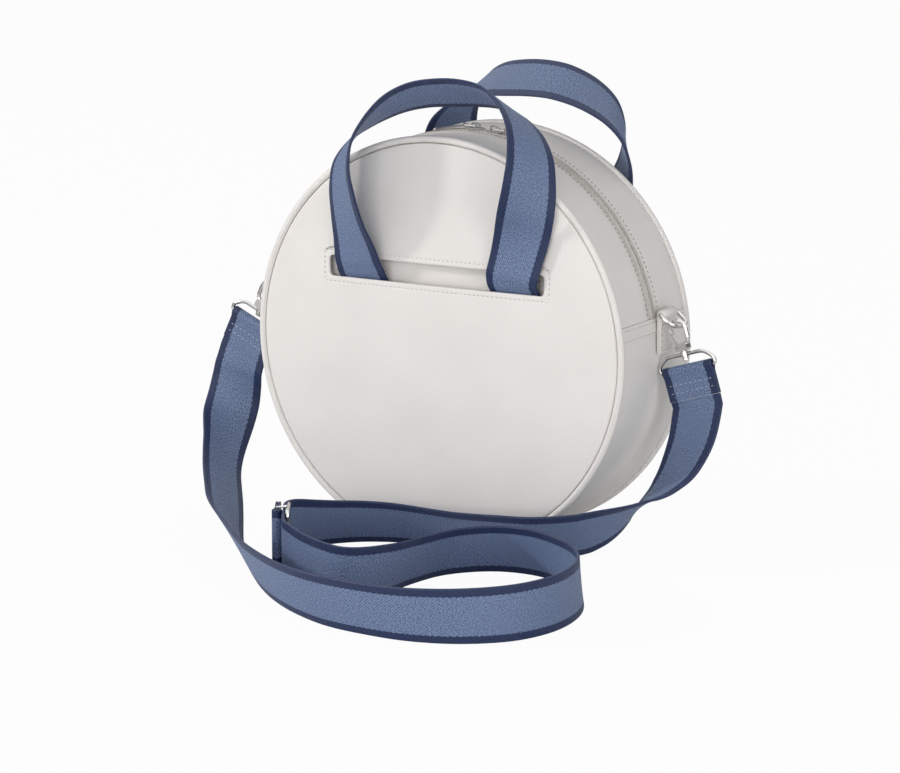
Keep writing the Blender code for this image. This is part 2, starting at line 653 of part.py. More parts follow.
def webbing(name, stations, material, rounded=False, on_floor=False):
    """Flat webbing along stations of a centre and the direction across its width."""
    half, wall = WEBBING_WIDTH / 2, WEBBING_WALL / 2
    count = len(stations)
    rings = []
    for index, (centre, across) in enumerate(stations):
        before = stations[max(index - 1, 0)][0]
        after = stations[min(index + 1, count - 1)][0]
        tangent = (after - before).normalized()
        if rounded and index in (0, count - 1):
            tangent = (tangent - across * across.dot(tangent)).normalized()
        across = (across - tangent * across.dot(tangent)).normalized()
        rings.append((centre, across, tangent, 1.0))
    if rounded:
        for end, turn in ((0, -1), (-1, 1)):
            centre, across, tangent, _ = rings[end]
            added = [(centre + tangent * turn * wall * math.sin(math.radians(bend)), across, tangent,
                      math.cos(math.radians(bend))) for bend in ROUND_END_DEGREES]
            rings = added[::-1] + rings if end == 0 else rings + added
    points = []
    for centre, across, tangent, share in rings:
        through = tangent.cross(across).normalized() * wall * share
        corners = [centre + across * half + through, centre + across * half - through,
                   centre - across * half - through, centre - across * half + through]
        if on_floor:
            lift = max(0, -min(corner.z for corner in corners))
            corners = [corner + Vector((0, 0, lift)) for corner in corners]
        points += corners
    mesh = mesh_from(name, points, ring_faces(len(rings), 4, False))
    return add_object(name, mesh, material)


def handle_line():
    """How far the handle's lower ends stand from the mid-plane."""
    return crown_y(0, SLIT_Z) + HANDLE_STANDOFF + WEBBING_WALL / 2


def make_handles(materials):
    cloth = materials["webbing"]
    line = handle_line()
    for word, side in (("front", -1), ("back", 1)):
        rows = []
        for x, forward, rise, a, b, c in HANDLE_SHARES:
            centre = (x * SLIT_LENGTH, side * (line + forward * BAG_DIAMETER), SLIT_Z + rise * BAG_DIAMETER)
            rows.append((*centre, a, -side * b, c))
        webbing(f"{word}_handle", smooth_line(rows, 2), cloth, rounded=True)
        back_wall = PANEL_EDGE_Y - PANEL_WALL - POCKET_DEPTH + POCKET_WALL
        seat = back_wall + GAP + WEBBING_WALL / 2
        dip = math.radians(HANDLE_ROOT_DIP)
        start = WEBBING_WALL / 2 + GAP
        for leg, row in (("left", HANDLE_SHARES[0]), ("right", HANDLE_SHARES[-1])):
            x = row[0] * SLIT_LENGTH
            depth = line - seat
            lip = depth * ROOT_LIP_SHARE
            places = ((line - start * math.cos(dip), start * math.sin(dip)), (line - lip, lip * math.tan(dip)),
                      (seat + GAP, HANDLE_ROOT_DROP * ROOT_BEND_SHARES[0]), (seat, HANDLE_ROOT_DROP * ROOT_BEND_SHARES[1]),
                      (seat, HANDLE_ROOT_DROP))
            stations = [(Vector((x, side * y, SLIT_Z - fall)), Vector((1, 0, 0))) for y, fall in places]
            webbing(f"{word}_handle_{leg}_root", stations, cloth)


def make_tabs(materials):
    """The tabs and what hangs on them; returns where the free webbing starts and ends."""
    ends = []
    for word, side in (("left", -1), ("right", 1)):
        fold = DRING_WIRE + GAP + TAB_WALL
        outward, up, depth = Vector((side, 0, 0)), Vector((0, 0, 1)), Vector((0, 1, 0))
        centre = Vector((side * (GUSSET_OUTER + GAP + fold), side * TAB_OFF_MIDDLE, RING_BAR_HEIGHT))
        tail = TAB_WALL * 2 - fold
        outline = [(-fold, -TAB_LENGTH)] + arc((0, 0), fold, 180, -50, 14) + [(tail, -fold * 2), (tail, -TAB_LENGTH)]
        tab = extruded(f"{word}_side_tab", outline, centre, outward, up, depth, TAB_WIDTH, materials["leather"])
        hole = arc((0, 0), DRING_WIRE + GAP, 0, 337.5, 15)
        bore = extruded(f"{word}_tab_bore", hole, centre, outward, up, depth, TAB_WIDTH + OVERRUN, materials["metal"])
        cut(tab, as_cutter(bore))
        ends.append(make_clip(word, side, centre, materials))
    return ends


def make_clip(word, side, bar, materials):
    """The D-ring in its tab, the snap hook on it, and the loop that the strap is sewn round."""
    metal = materials["metal"]
    swing, tilt = math.radians(DRING_SWING[side]), math.radians(HOOK_TILT[side])
    across = Vector((0, 1, 0))
    down = Vector((side * math.sin(swing), 0, -math.cos(swing)))
    half = DRING_INNER / 2 + DRING_WIRE
    corner = DRING_WIRE
    ring = [bar + across * (corner - half), bar + across * (half - corner)]
    for turn in range(15, 166, 15):
        c, s = math.cos(math.radians(turn)), math.sin(math.radians(turn))
        wide = math.copysign(abs(c) ** DRING_ROUND, c) * half
        ring.append(bar + across * wide + down * (DRING_DROP * s ** DRING_ROUND))
    tube(f"{word}_d_ring", ring, DRING_WIRE, metal, closed=True)
    shifted = (HOOK_SHIFT / half) ** (1 / DRING_ROUND)
    drop = DRING_DROP * math.sqrt(1 - shifted * shifted) ** DRING_ROUND
    hung = bar + down * drop - across * HOOK_SHIFT
    fall = Vector((side * math.sin(tilt), 0, -math.cos(tilt)))
    lateral = Vector((side * math.cos(tilt), 0, math.sin(tilt)))
    make_hook(word, hung, fall, lateral, across, metal)
    loop_top = HOOK_BOSS_START + HOOK_BOSS_LENGTH + GAP + SWIVEL_LENGTH / 2
    make_loop(word, hung, fall, lateral, across, loop_top, metal)
    loop_bar = hung + fall * (loop_top + LOOP_HEIGHT)
    make_sleeve(f"{word}_strap_end", loop_bar, fall, across, lateral, LOOP_WIRE, SLEEVE_LENGTH, materials["webbing"])
    end = loop_bar + fall * (SLEEVE_LENGTH + GAP)
    return end, end + fall * STRAP_LEAD, lateral


def turned(name, profile, origin, axis, side_axis, material, steps=12):
    """A round piece about an axis, from rows of (place along the axis, radius)."""
    other = axis.cross(side_axis)
    points = []
    for place, radius in profile:
        for step in range(steps):
            turn = math.tau * step / steps
            points.append(origin + axis * place + (side_axis * math.cos(turn) + other * math.sin(turn)) * radius)
    return add_object(name, mesh_from(name, points, ring_faces(len(profile), steps, False)), material)


def make_hook(word, hung, fall, lateral, across, metal):
    radius = HOOK_EYE_WIDTH / 2
    bend_at = radius - DRING_WIRE - HOOK_PLAY - HOOK_WIRE
    boss_middle = HOOK_BOSS_START + HOOK_BOSS_LENGTH / 2
    flare, flare_drop = (radius * share for share in NECK_FLARE_SHARES)
    line = [(radius * NECK_ROOT_SHARE, boss_middle), (flare, HOOK_BOSS_START - flare_drop)]
    line += [(radius, HOOK_BOSS_START - radius * NECK_DROP_SHARE)]
    line += [(a, bend_at - b) for a, b in arc((0, 0), radius, 0, 180, 10)]
    line += [(-radius, bend_at + HOOK_WIRE)]
    hook = tube(f"{word}_hook", [hung + lateral * a + fall * b for a, b in line], HOOK_WIRE, metal)
    boss_outline = rounded_box(HOOK_BOSS_WIDTH, HOOK_BOSS_LENGTH, HOOK_BOSS_ROUND, 3)
    boss_at = hung + fall * boss_middle
    boss = extruded(f"{word}_hook_boss", boss_outline, boss_at, lateral, fall, across, HOOK_BOSS_DEPTH, metal)
    end = boss_middle + HOOK_BOSS_LENGTH / 2
    stem_end = end + GAP + SWIVEL_LENGTH + GAP
    stem = turned(f"{word}_hook_stem", [(boss_middle, SWIVEL_PIN), (stem_end, SWIVEL_PIN), (stem_end, HOOK_HEAD),
                  (stem_end + HOOK_HEAD_WALL, HOOK_HEAD)], hung, fall, lateral, metal)
    cut(hook, as_cutter(boss), "UNION")
    cut(hook, as_cutter(stem), "UNION")
    pin = Vector((-PIN_OFF_AXIS, boss_middle, 0))
    tip = Vector((-radius, bend_at + HOOK_WIRE + GAP * 2, 0))
    line_up = (tip - pin).normalized()
    beside = Vector((-line_up.y, line_up.x, 0))
    wall = GATE_WALL / 2
    gate_outline = [tip + beside * wall, tip - beside * wall]
    turn = math.degrees(math.atan2(-beside.y, -beside.x))
    gate_outline += [Vector((a, b, 0)) for a, b in arc((pin.x, pin.y), wall, turn, turn - 180, 6)]
    flat = [(point.x, point.y) for point in gate_outline]
    gate = extruded(f"{word}_gate", flat, hung, lateral, fall, across, GATE_WIDTH, metal)
    pin_at = hung + lateral * pin.x + fall * pin.y
    bore = extruded(f"{word}_pin_bore", arc((0, 0), PIN_RADIUS + GAP, 0, 330, 11), pin_at, lateral, fall, across,
                    HOOK_BOSS_DEPTH + OVERRUN, metal)
    as_cutter(bore)
    slot_low, slot_high = pin.x - OVERRUN, pin.x + wall + GAP * 2
    slot_outline = [(slot_low, -OVERRUN), (slot_high, -OVERRUN), (slot_high, pin.y + wall + GAP * 2),
                    (slot_low, pin.y + wall + GAP * 2)]
    slot = extruded(f"{word}_gate_slot", slot_outline, hung, lateral, fall, across, GATE_WIDTH + GAP * 2, metal)
    boss_only = cut(boss, as_cutter(slot))
    cut(boss_only, bore)
    cut(gate, bore)
    extruded(f"{word}_gate_pin", arc((0, 0), PIN_RADIUS, 0, 330, 11), pin_at, lateral, fall, across,
             HOOK_BOSS_DEPTH, metal)


def make_loop(word, hung, fall, lateral, across, top, metal):
    narrow, wide = LOOP_TOP_WIDTH / 2, LOOP_BAR_WIDTH / 2
    bottom = top + LOOP_HEIGHT
    round_by = LOOP_WIRE
    upright = LOOP_WIRE + GAP + WEBBING_WALL + LOOP_WIRE
    half_path = [(narrow - round_by, top), (narrow + round_by * LOOP_FLARE_SHARE, top + round_by), (wide, bottom - upright),
                 (wide, bottom - round_by), (wide - round_by, bottom)]
    path = [(0, top)] + half_path + [(0, bottom)] + [(-a, b) for a, b in reversed(half_path)]
    loop = tube(f"{word}_swivel_loop", [hung + lateral * a + fall * b for a, b in path], LOOP_WIRE, metal, closed=True)
    half = SWIVEL_LENGTH / 2
    barrel = turned(f"{word}_swivel_barrel", [(top - half, SWIVEL_RADIUS), (top + half, SWIVEL_RADIUS)], hung, fall,
                    lateral, metal)
    bore = turned(f"{word}_swivel_bore", [(top - OVERRUN, SWIVEL_PIN + GAP), (top + half + GAP, SWIVEL_PIN + GAP)],
                  hung, fall, lateral, metal)
    cut(loop, as_cutter(barrel), "UNION")
    cut(loop, as_cutter(bore))


def make_sleeve(name, bar, fall, through, width_axis, wire, length, cloth):
    """Webbing folded round a bar and sewn to itself: a round fold and a tail of two layers."""
    fold = wire + GAP + WEBBING_WALL
    tail = WEBBING_WALL
    outline = [(-tail, length), (-tail, fold)] + arc((0, 0), fold, 150, 390, 16) + [(tail, fold), (tail, length)]
    sleeve = extruded(name, outline, bar, through, fall, width_axis, WEBBING_WIDTH, cloth)
    hole = extruded(name + "_bore", arc((0, 0), wire + GAP, 0, 337.5, 15), bar, through, fall, width_axis,
                    WEBBING_WIDTH + OVERRUN, cloth)
    return cut(sleeve, as_cutter(hole))


def make_strap(ends, materials):
    rows = [(x * BAG_DIAMETER, y * BAG_DIAMETER, z * BAG_DIAMETER, a, b, c) for x, y, z, a, b, c in STRAP_SHARES]
    (start, lead_in, first), (end, lead_out, last) = ends
    rows = [(*lead_in, *first)] + rows + [(*lead_out, *last)]
    stations = [(start, first)] + smooth_line(rows, 2) + [(end, last)]
    webbing("shoulder_webbing", stations, materials["webbing"], on_floor=True)


def make_adjuster(materials):
    metal = materials["metal"]
    x, y = (share * BAG_DIAMETER for share in ADJUSTER_PLACE_SHARES)
    height = WEBBING_WIDTH + 2 * GAP + 4 * ADJUSTER_WIRE
    centre = Vector((x, y, height / 2))
    along = Vector((*ADJUSTER_LINE, 0)).normalized()
    up = Vector((0, 0, 1))
    out = along.cross(up)
    ring_off = WEBBING_WALL / 2 + GAP + ADJUSTER_WIRE
    long_side, tall = ADJUSTER_LENGTH - 2 * ADJUSTER_WIRE, height - 2 * ADJUSTER_WIRE
    ring = [centre + out * ring_off + along * a + up * b for a, b in rounded_box(long_side, tall, ADJUSTER_ROUND, 3)]
    frame = tube("adjuster_frame", ring, ADJUSTER_WIRE, metal, closed=True)
    bar_off = WEBBING_WALL / 2 + GAP + WEBBING_WALL + GAP + ADJUSTER_WIRE
    bar = [(tall / 2, ring_off), (tall / 2, -bar_off), (-tall / 2, -bar_off), (-tall / 2, ring_off)]
    middle = tube("adjuster_bar", [centre + up * a + out * b for a, b in bar], ADJUSTER_WIRE, metal)
    cut(frame, as_cutter(middle), "UNION")
    make_sleeve("strap_tail", centre - out * bar_off, along, out, up, ADJUSTER_WIRE, ADJUSTER_TAIL,
                materials["webbing"])


def main():
    clear_scene()
    materials = make_materials()
    make_panels(materials)
    make_pocket("front_pocket", -1, materials["leather"])
    make_pocket("back_pocket", 1, materials["leather"])
    make_piping(materials)
    make_gusset(materials)
    make_zip_tapes(materials)
    make_base_board(materials)
    make_sliders(materials)
    make_handles(materials)
    strap_ends = make_tabs(materials)
    make_strap(strap_ends, materials)
    make_adjuster(materials)


main()
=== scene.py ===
"""A round leather travel bag with webbing handles and a clipped strap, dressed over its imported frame."""

import math

import bmesh
import bpy
from bpy.props import FloatProperty, FloatVectorProperty, IntProperty, PointerProperty
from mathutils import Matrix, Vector, noise


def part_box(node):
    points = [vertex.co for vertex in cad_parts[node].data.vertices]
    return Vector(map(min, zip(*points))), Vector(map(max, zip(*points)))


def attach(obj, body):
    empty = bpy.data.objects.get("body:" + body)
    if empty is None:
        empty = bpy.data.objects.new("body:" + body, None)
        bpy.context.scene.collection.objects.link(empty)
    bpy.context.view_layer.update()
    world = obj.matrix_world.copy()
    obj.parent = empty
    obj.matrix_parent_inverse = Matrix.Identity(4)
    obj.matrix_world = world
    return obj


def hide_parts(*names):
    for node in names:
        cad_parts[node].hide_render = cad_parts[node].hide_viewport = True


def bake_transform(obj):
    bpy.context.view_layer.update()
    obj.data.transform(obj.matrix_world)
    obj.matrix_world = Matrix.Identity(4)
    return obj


bl_info = {
    "name": "Round Travel Bag",
    "version": (1, 0, 0),
    "blender": (4, 5, 0),
    "location": "View3D > Sidebar > Travel Bag",
    "description": "Leather, webbing, zip and metal for the packed frame of a round travel bag",
    "category": "Object",
}

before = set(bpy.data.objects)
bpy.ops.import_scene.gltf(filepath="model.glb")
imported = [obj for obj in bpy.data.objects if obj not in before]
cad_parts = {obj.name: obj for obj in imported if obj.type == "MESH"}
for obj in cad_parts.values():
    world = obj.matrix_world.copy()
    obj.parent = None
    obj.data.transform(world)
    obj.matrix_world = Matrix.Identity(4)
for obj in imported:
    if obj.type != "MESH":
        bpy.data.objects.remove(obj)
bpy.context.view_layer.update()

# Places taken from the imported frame
PIPING_LOW, PIPING_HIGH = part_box("back_piping")
BAG_DIAMETER = PIPING_HIGH.x - PIPING_LOW.x
RIM_RADIUS = BAG_DIAMETER / 2
CENTRE_Z = PIPING_HIGH.z - RIM_RADIUS
PIPING_RADIUS = (PIPING_HIGH.y - PIPING_LOW.y) / 2
PIPING_Y = (PIPING_HIGH.y + PIPING_LOW.y) / 2
PIPING_LINE = RIM_RADIUS - PIPING_RADIUS
BEND_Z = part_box("front_panel_lower")[1].z
BAND_RADIUS, BAND_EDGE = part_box("base_band")[1].xy
PANEL_RADIUS, PANEL_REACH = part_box("back_panel")[1].xy
TAPE_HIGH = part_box("front_zip_tape")[1].z
SIDES = (("left", -1), ("right", 1))

# Clearances and walls that the user wouldn't change, in metres
GAP = 0.0003
STANDOFF = 0.0012
TAB_WALL = 0.0016
TAB_EDGE = TAB_WALL * 0.35

# The slit's corners in shares of its height, and its seam's distance from it in shares of the leather
SLIT_CORNER = 0.2
SEAM_INSET = 1.8
# How far in and how far down the handle's root lies, in shares of its depth and its drop
ROOT_SHARES = ((0.30, 0.16), (0.46, 0.30), (0.64, 0.44), (0.82, 0.60), (0.95, 0.74), (1.0, 0.88), (1.0, 1.0))

# Creases of the gusset: how far they reach from its hem, each one's share, lengths, width and noise row,
# and how deep they lie on the whole
CREASE_REACH = 0.045
CREASES = ((0.7, 0.022, 0.05, 0.03, 2.7), (0.3, 0.009, 0.03, 0.02, 5.1))
CREASE_REST = 0.35
# Size of the faint swells in the leather's faces
FACE_CLOUD = 0.055

# Wire fittings: the D-rings, the swivel loops under the hooks, and the angles at which they hang
DRING_WIRE = 0.0015
DRING_INNER = 0.0216
DRING_DROP = 0.0140
DRING_ROUND = 0.7
DRING_SWING = {-1: 62, 1: 55}
HOOK_SHIFT = 0.006
HOOK_TILT = {-1: 25, 1: 17}
LOOP_WIRE = 0.0014
LOOP_TOP = 0.0201
LOOP_TOP_WIDTH = 0.0300
LOOP_BAR_WIDTH = 0.0440
LOOP_HEIGHT = 0.0105
LOOP_ROUND = LOOP_WIRE * 2.6
SWIVEL_RADIUS = 0.0026
SWIVEL_LENGTH = 0.0048
ROUND_STEPS = 6

# The strap's sewn ends, the rise of their two seams, and the adjuster with its tail
FOLD_ROUND = 0.0037
SEAM_RISES = (FOLD_ROUND * 2.6, FOLD_ROUND * 4.1)
SLEEVE_LENGTH = 0.021
STRAP_LEAD = 0.006
ADJUSTER_TAIL = 0.024
ADJUSTER_PLACE_SHARES = (-0.182, -0.562)
ADJUSTER_LINE = (-0.505, 0.863)

# Pebbles of the leather's grain and ribs of the zip's tape and coil, in metres
FACE_GRAIN, EDGE_GRAIN = 0.0011, 0.0008
TAPE_RIB, COIL_RIB = 0.0016, 0.0009
# Marks in each metre: clouds of pigment are about 45 mm across, haze 6, fibres 2, fuzz 1.2 and plies 0.4
CLOUDS_PER_METRE = 22.0
HAZE_PER_METRE = 160.0
FIBRES_PER_METRE = 500.0
FUZZ_PER_METRE = 850.0
PLIES_PER_METRE = 2600.0
# Ribs and yarns of the webbing, about twice as coarse as real ones, so that they show: pitch and slant
RIB, RIB_SLANT = 0.0018, 0.0080
YARN, YARN_SLANT = 0.0016, 0.0070
SELVEDGE_STEP = 0.0042

CAMERA_PLACE = (1.3979, -2.4249, 0.6753)
CAMERA_AIM = (-0.0191, 0, 0.1044)

# The handle's line: thousandths of the slit's length (x) and of the bag's diameter (y, z), and its
# width direction in hundredths
HANDLE_ROWS = (
    (-346, 0, 0, -100, 0, 0), (-353, 16, 62, -97, 22, 2), (-361, 38, 124, -90, 40, 8),
    (-366, 55, 189, -85, 52, 10), (-361, 61, 255, -72, 68, 6), (-327, 48, 315, -50, 86, -8),
    (-261, 25, 363, -28, 93, -22), (-179, 2, 401, -10, 92, -38), (-78, -14, 424, 0, 86, -50),
    (32, -22, 433, 0, 82, -57), (145, -25, 436, 0, 83, -56), (256, -22, 429, 0, 87, -50),
    (358, -4, 404, 5, 92, -38), (438, 19, 363, 20, 94, -27), (482, 38, 306, 42, 90, -12),
    (486, 46, 242, 62, 78, -8), (464, 38, 178, 82, 56, -10), (424, 15, 119, 95, 25, -20),
    (387, 3, 59, 97, 6, -25), (356, 0, 0, 100, 0, 0),
)

# The strap's line from the left hook to the right one: thousandths of the bag's diameter, and its
# width direction in hundredths
STRAP_ROWS = (
    (-638, -53, 350, -98, 0, 20), (-651, -44, 312, -97, -15, 17), (-659, -48, 265, -91, -31, 27),
    (-656, -77, 218, -73, -38, 57), (-640, -121, 175, -48, -55, 69), (-615, -169, 141, -40, -61, 68),
    (-585, -214, 116, -47, -58, 67), (-550, -264, 98, -51, -55, 67), (-506, -327, 82, -50, -50, 71),
    (-449, -409, 68, -52, -43, 74), (-379, -500, 61, -40, -30, 80), (-301, -591, 60, -40, -30, 90),
    (-221, -681, 61, -30, -30, 90), (-139, -768, 62, -30, -30, 90), (-50, -848, 64, -20, -30, 90),
    (48, -917, 65, -20, -30, 90), (158, -966, 64, -10, -30, 90), (276, -990, 65, 0, -30, 90),
    (396, -987, 65, 0, -30, 100), (510, -945, 66, 10, -20, 100), (599, -862, 67, 10, -10, 100),
    (638, -747, 68, 10, 0, 100), (626, -624, 69, 0, 0, 100), (570, -512, 68, -10, -10, 100),
    (484, -420, 65, -20, -20, 90), (378, -358, 64, -10, -40, 90), (272, -358, 62, 20, -40, 90),
    (198, -433, 62, 40, -20, 90), (173, -546, 63, 40, 0, 90), (160, -666, 65, 30, -10, 100),
    (103, -760, 66, 10, -10, 100), (-7, -741, 72, 10, 10, 100), (-102, -677, 78, 0, 0, 100),
    (-142, -630, 78, 0, 0, 100), (-182, -562, 78, 0, 0, 100), (-222, -493, 78, 0, 0, 100),
    (-232, -417, 70, 30, -10, 90), (-202, -336, 62, 40, -20, 90), (-146, -273, 59, 30, -40, 80),
    (-67, -240, 58, 10, -50, 80), (27, -230, 57, 0, -60, 80), (122, -234, 57, 0, -60, 80),
    (218, -240, 60, -10, -50, 90), (313, -239, 66, -10, -50, 90), (403, -218, 81, 0, -60, 80),
    (443, -197, 94, 10, -60, 80), (478, -170, 111, 30, -70, 70), (508, -140, 132, 50, -70, 50),
    (532, -108, 156, 70, -70, 30), (560, -77, 186, 80, -55, 10), (580, -45, 224, 90, -33, 8),
    (597, -12, 292, 96, -8, 20),
)
ROW_UNITS = (1000, 1000, 1000, 100, 100, 100)


def hex_colour(text):
    """Linear colour of an sRGB hex value."""
    values = [int(text[index : index + 2], 16) / 255 for index in (0, 2, 4)]
    return tuple(value / 12.92 if value <= 0.04045 else ((value + 0.055) / 1.055) ** 2.4 for value in values)


def length_prop(name, description, default):
    return FloatProperty(name=name, description=description, default=default, unit="LENGTH", precision=4)


def colour_prop(name, description, text):
    return FloatVectorProperty(name=name, description=description, default=hex_colour(text), subtype="COLOR",
                               min=0.0, max=1.0)


class TravelBagBody(bpy.types.PropertyGroup):
    """Sizes of the leather drum"""

    crown: length_prop("Crown", "How far the middle of each face swells past its edge", 0.004)
    wall: length_prop("Leather", "Thickness of the leather with its lining", 0.0022)
    slit_length: length_prop("Slit length", "Length of the handle slit", 0.176)
    slit_height: length_prop("Slit height", "Height of the handle slit", 0.0152)
    slit_rise: length_prop("Slit rise", "Height of the slit above the middle of the drum", 0.051)
    fold_depth: length_prop("Fold depth", "Depth of the soft creases in the gusset", 0.0009)
    zip_width: length_prop("Zip width", "Width of the zip between the gusset's edges", 0.011)
    tooth_pitch: length_prop("Tooth pitch", "Distance between two turns of the zip's coil", 0.0018)


class TravelBagWebbing(bpy.types.PropertyGroup):
    """Sizes of the webbing and its seams"""

    width: length_prop("Width", "Width of the webbing", 0.040)
    wall: length_prop("Thickness", "Thickness of the webbing", 0.002)
    navy: length_prop("Navy band", "Width of the dark band along each edge", 0.0058)
    stitch_pitch: length_prop("Stitch pitch", "Distance between two stitches", 0.0036)
    stitch_length: length_prop("Stitch length", "Length of the thread that shows in one stitch", 0.0019)
    thread: length_prop("Thread", "Thickness of the sewing thread", 0.0006)


class TravelBagColours(bpy.types.PropertyGroup):
    """Colours of the bag"""

    leather: colour_prop("Leather", "Warm grey of the leather", "E0DCD8")
    crease: colour_prop("Leather creases", "Darker grey in the leather's grain", "D8D3CF")
    blue: colour_prop("Webbing", "Blue of the webbing's middle", "8294B6")
    # painted shade: the webbing's blue darkened for the hollows between the ribs
    blue_valley_shade: colour_prop("Webbing shade", "Blue between the webbing's ribs", "3A496B")
    navy: colour_prop("Navy", "Dark blue of the webbing's edges", "152852")
    nickel: colour_prop("Nickel", "Polished nickel of the fittings", "D8D6D3")
    thread: colour_prop("Leather thread", "Thread in the leather's seams", "9A938D")
    pale_thread: colour_prop("Webbing thread", "Thread in the webbing's seams", "C9CDD6")
    tape: colour_prop("Zip tape", "Woven tape of the zip", "D2CDC8")
    board: colour_prop("Base board", "Stiffener inside the base", "4A4643")


class TravelBagStage(bpy.types.PropertyGroup):
    """The camera and the lamps"""

    lens: FloatProperty(name="Lens", description="Focal length of the camera in millimetres", default=157.9)
    key: FloatProperty(name="Key lamp", description="Power of the main lamp in watts", default=78.0)
    fill: FloatProperty(name="Fill lamp", description="Power of the second lamp in watts", default=27.0)
    sky: FloatProperty(name="Surroundings", description="Strength of the white surroundings", default=0.47)
    white: FloatProperty(name="Paper", description="Share of plain white in the floor", default=0.95)
    facets: IntProperty(name="Facets", description="Steps round the drum", default=192)


def material_node(tree, kind, settings=None, links=None):
    """A node with its settings; links maps an input to the (node, output) that feeds it."""
    node = tree.nodes.new(kind)
    for key, value in (settings or {}).items():
        if isinstance(key, int) or key in node.inputs:
            node.inputs[key].default_value = value
        else:
            setattr(node, key, value)
    for key, (source, output) in (links or {}).items():
        tree.links.new(source.outputs[output], node.inputs[key])
    return node


def new_material(name, settings):
    """A material with these values on its shader's own sockets, with its tree and its shader."""
    material = bpy.data.materials.new(name)
    material.use_nodes = True
    shader = material.node_tree.nodes["Principled BSDF"]
    for socket, value in settings.items():
        shader.inputs[socket].default_value = value
    return material, material.node_tree, shader


def dress(tree, shader, colour, relief, strength, depth, shine=None):
    """Feeds the shader its colour, its relief and, where it varies, its range of roughness."""
    bump = material_node(tree, "ShaderNodeBump", {"Strength": strength, "Distance": depth},
                         {"Height": relief})
    feeds = {"Base Color": colour, "Normal": (bump, 0)}
    if shine:
        low, high, source = shine
        gloss = material_node(tree, "ShaderNodeMapRange", {"To Min": low, "To Max": high},
                              {"Value": source})
        feeds["Roughness"] = (gloss, 0)
    for socket, (source, output) in feeds.items():
        tree.links.new(source.outputs[output], shader.inputs[socket])


def marked(name, settings, tone, dark, marks, relief, shine=None):
    """A material of one tone, darkened and raised by marks: the kind, settings and output of their node."""
    material, tree, shader = new_material(name, settings)
    kind, pattern, output = marks
    place = material_node(tree, "ShaderNodeTexCoord")
    source = (material_node(tree, kind, pattern, {"Vector": (place, "Object")}), output)
    # the darker tone goes where the marks lie low: painted shade between the zip's ribs, and tone that varies
    # at random in the haze, the plies and the fibres
    shade = (*(value * dark for value in tone), 1)
    colour = material_node(tree, "ShaderNodeMix", {"data_type": "RGBA", 6: shade, 7: (*tone, 1)},
                           {0: source})
    dress(tree, shader, (colour, 2), source, *relief, shine and (*shine, source))
    return material


def finished_leather(name, colours, grain, height):
    """Corrected-grain leather, pigmented and pressed: nearly matt, with a fine pebble and faint clouds."""
    material, tree, shader = new_material(name, {"Roughness": 0.5})
    place = {"Vector": (material_node(tree, "ShaderNodeTexCoord"), "Object")}
    clouds = material_node(tree, "ShaderNodeTexNoise", {"Scale": CLOUDS_PER_METRE, "Detail": 3.0}, place)
    pebble = material_node(tree, "ShaderNodeTexVoronoi", {"Scale": 1 / grain, "feature": "SMOOTH_F1"}, place)
    pores = material_node(tree, "ShaderNodeTexNoise", {"Scale": 0.6 / grain, "Detail": 4.0}, place)
    both = material_node(tree, "ShaderNodeMath", {"operation": "ADD"},
                         {0: (pebble, "Distance"), 1: (pores, 0)})
    tone = material_node(tree, "ShaderNodeMapRange", {"From Min": 0.35, "From Max": 0.75, "To Max": 0.55},
                         {"Value": (clouds, 0)})
    colour = material_node(tree, "ShaderNodeMix", {"data_type": "RGBA", 6: (*colours.leather, 1),
                                                   7: (*colours.crease, 1)}, {0: (tone, 0)})
    dress(tree, shader, (colour, 2), (both, 0), height, 0.0003, (0.48, 0.62, (pores, 0)))
    return material


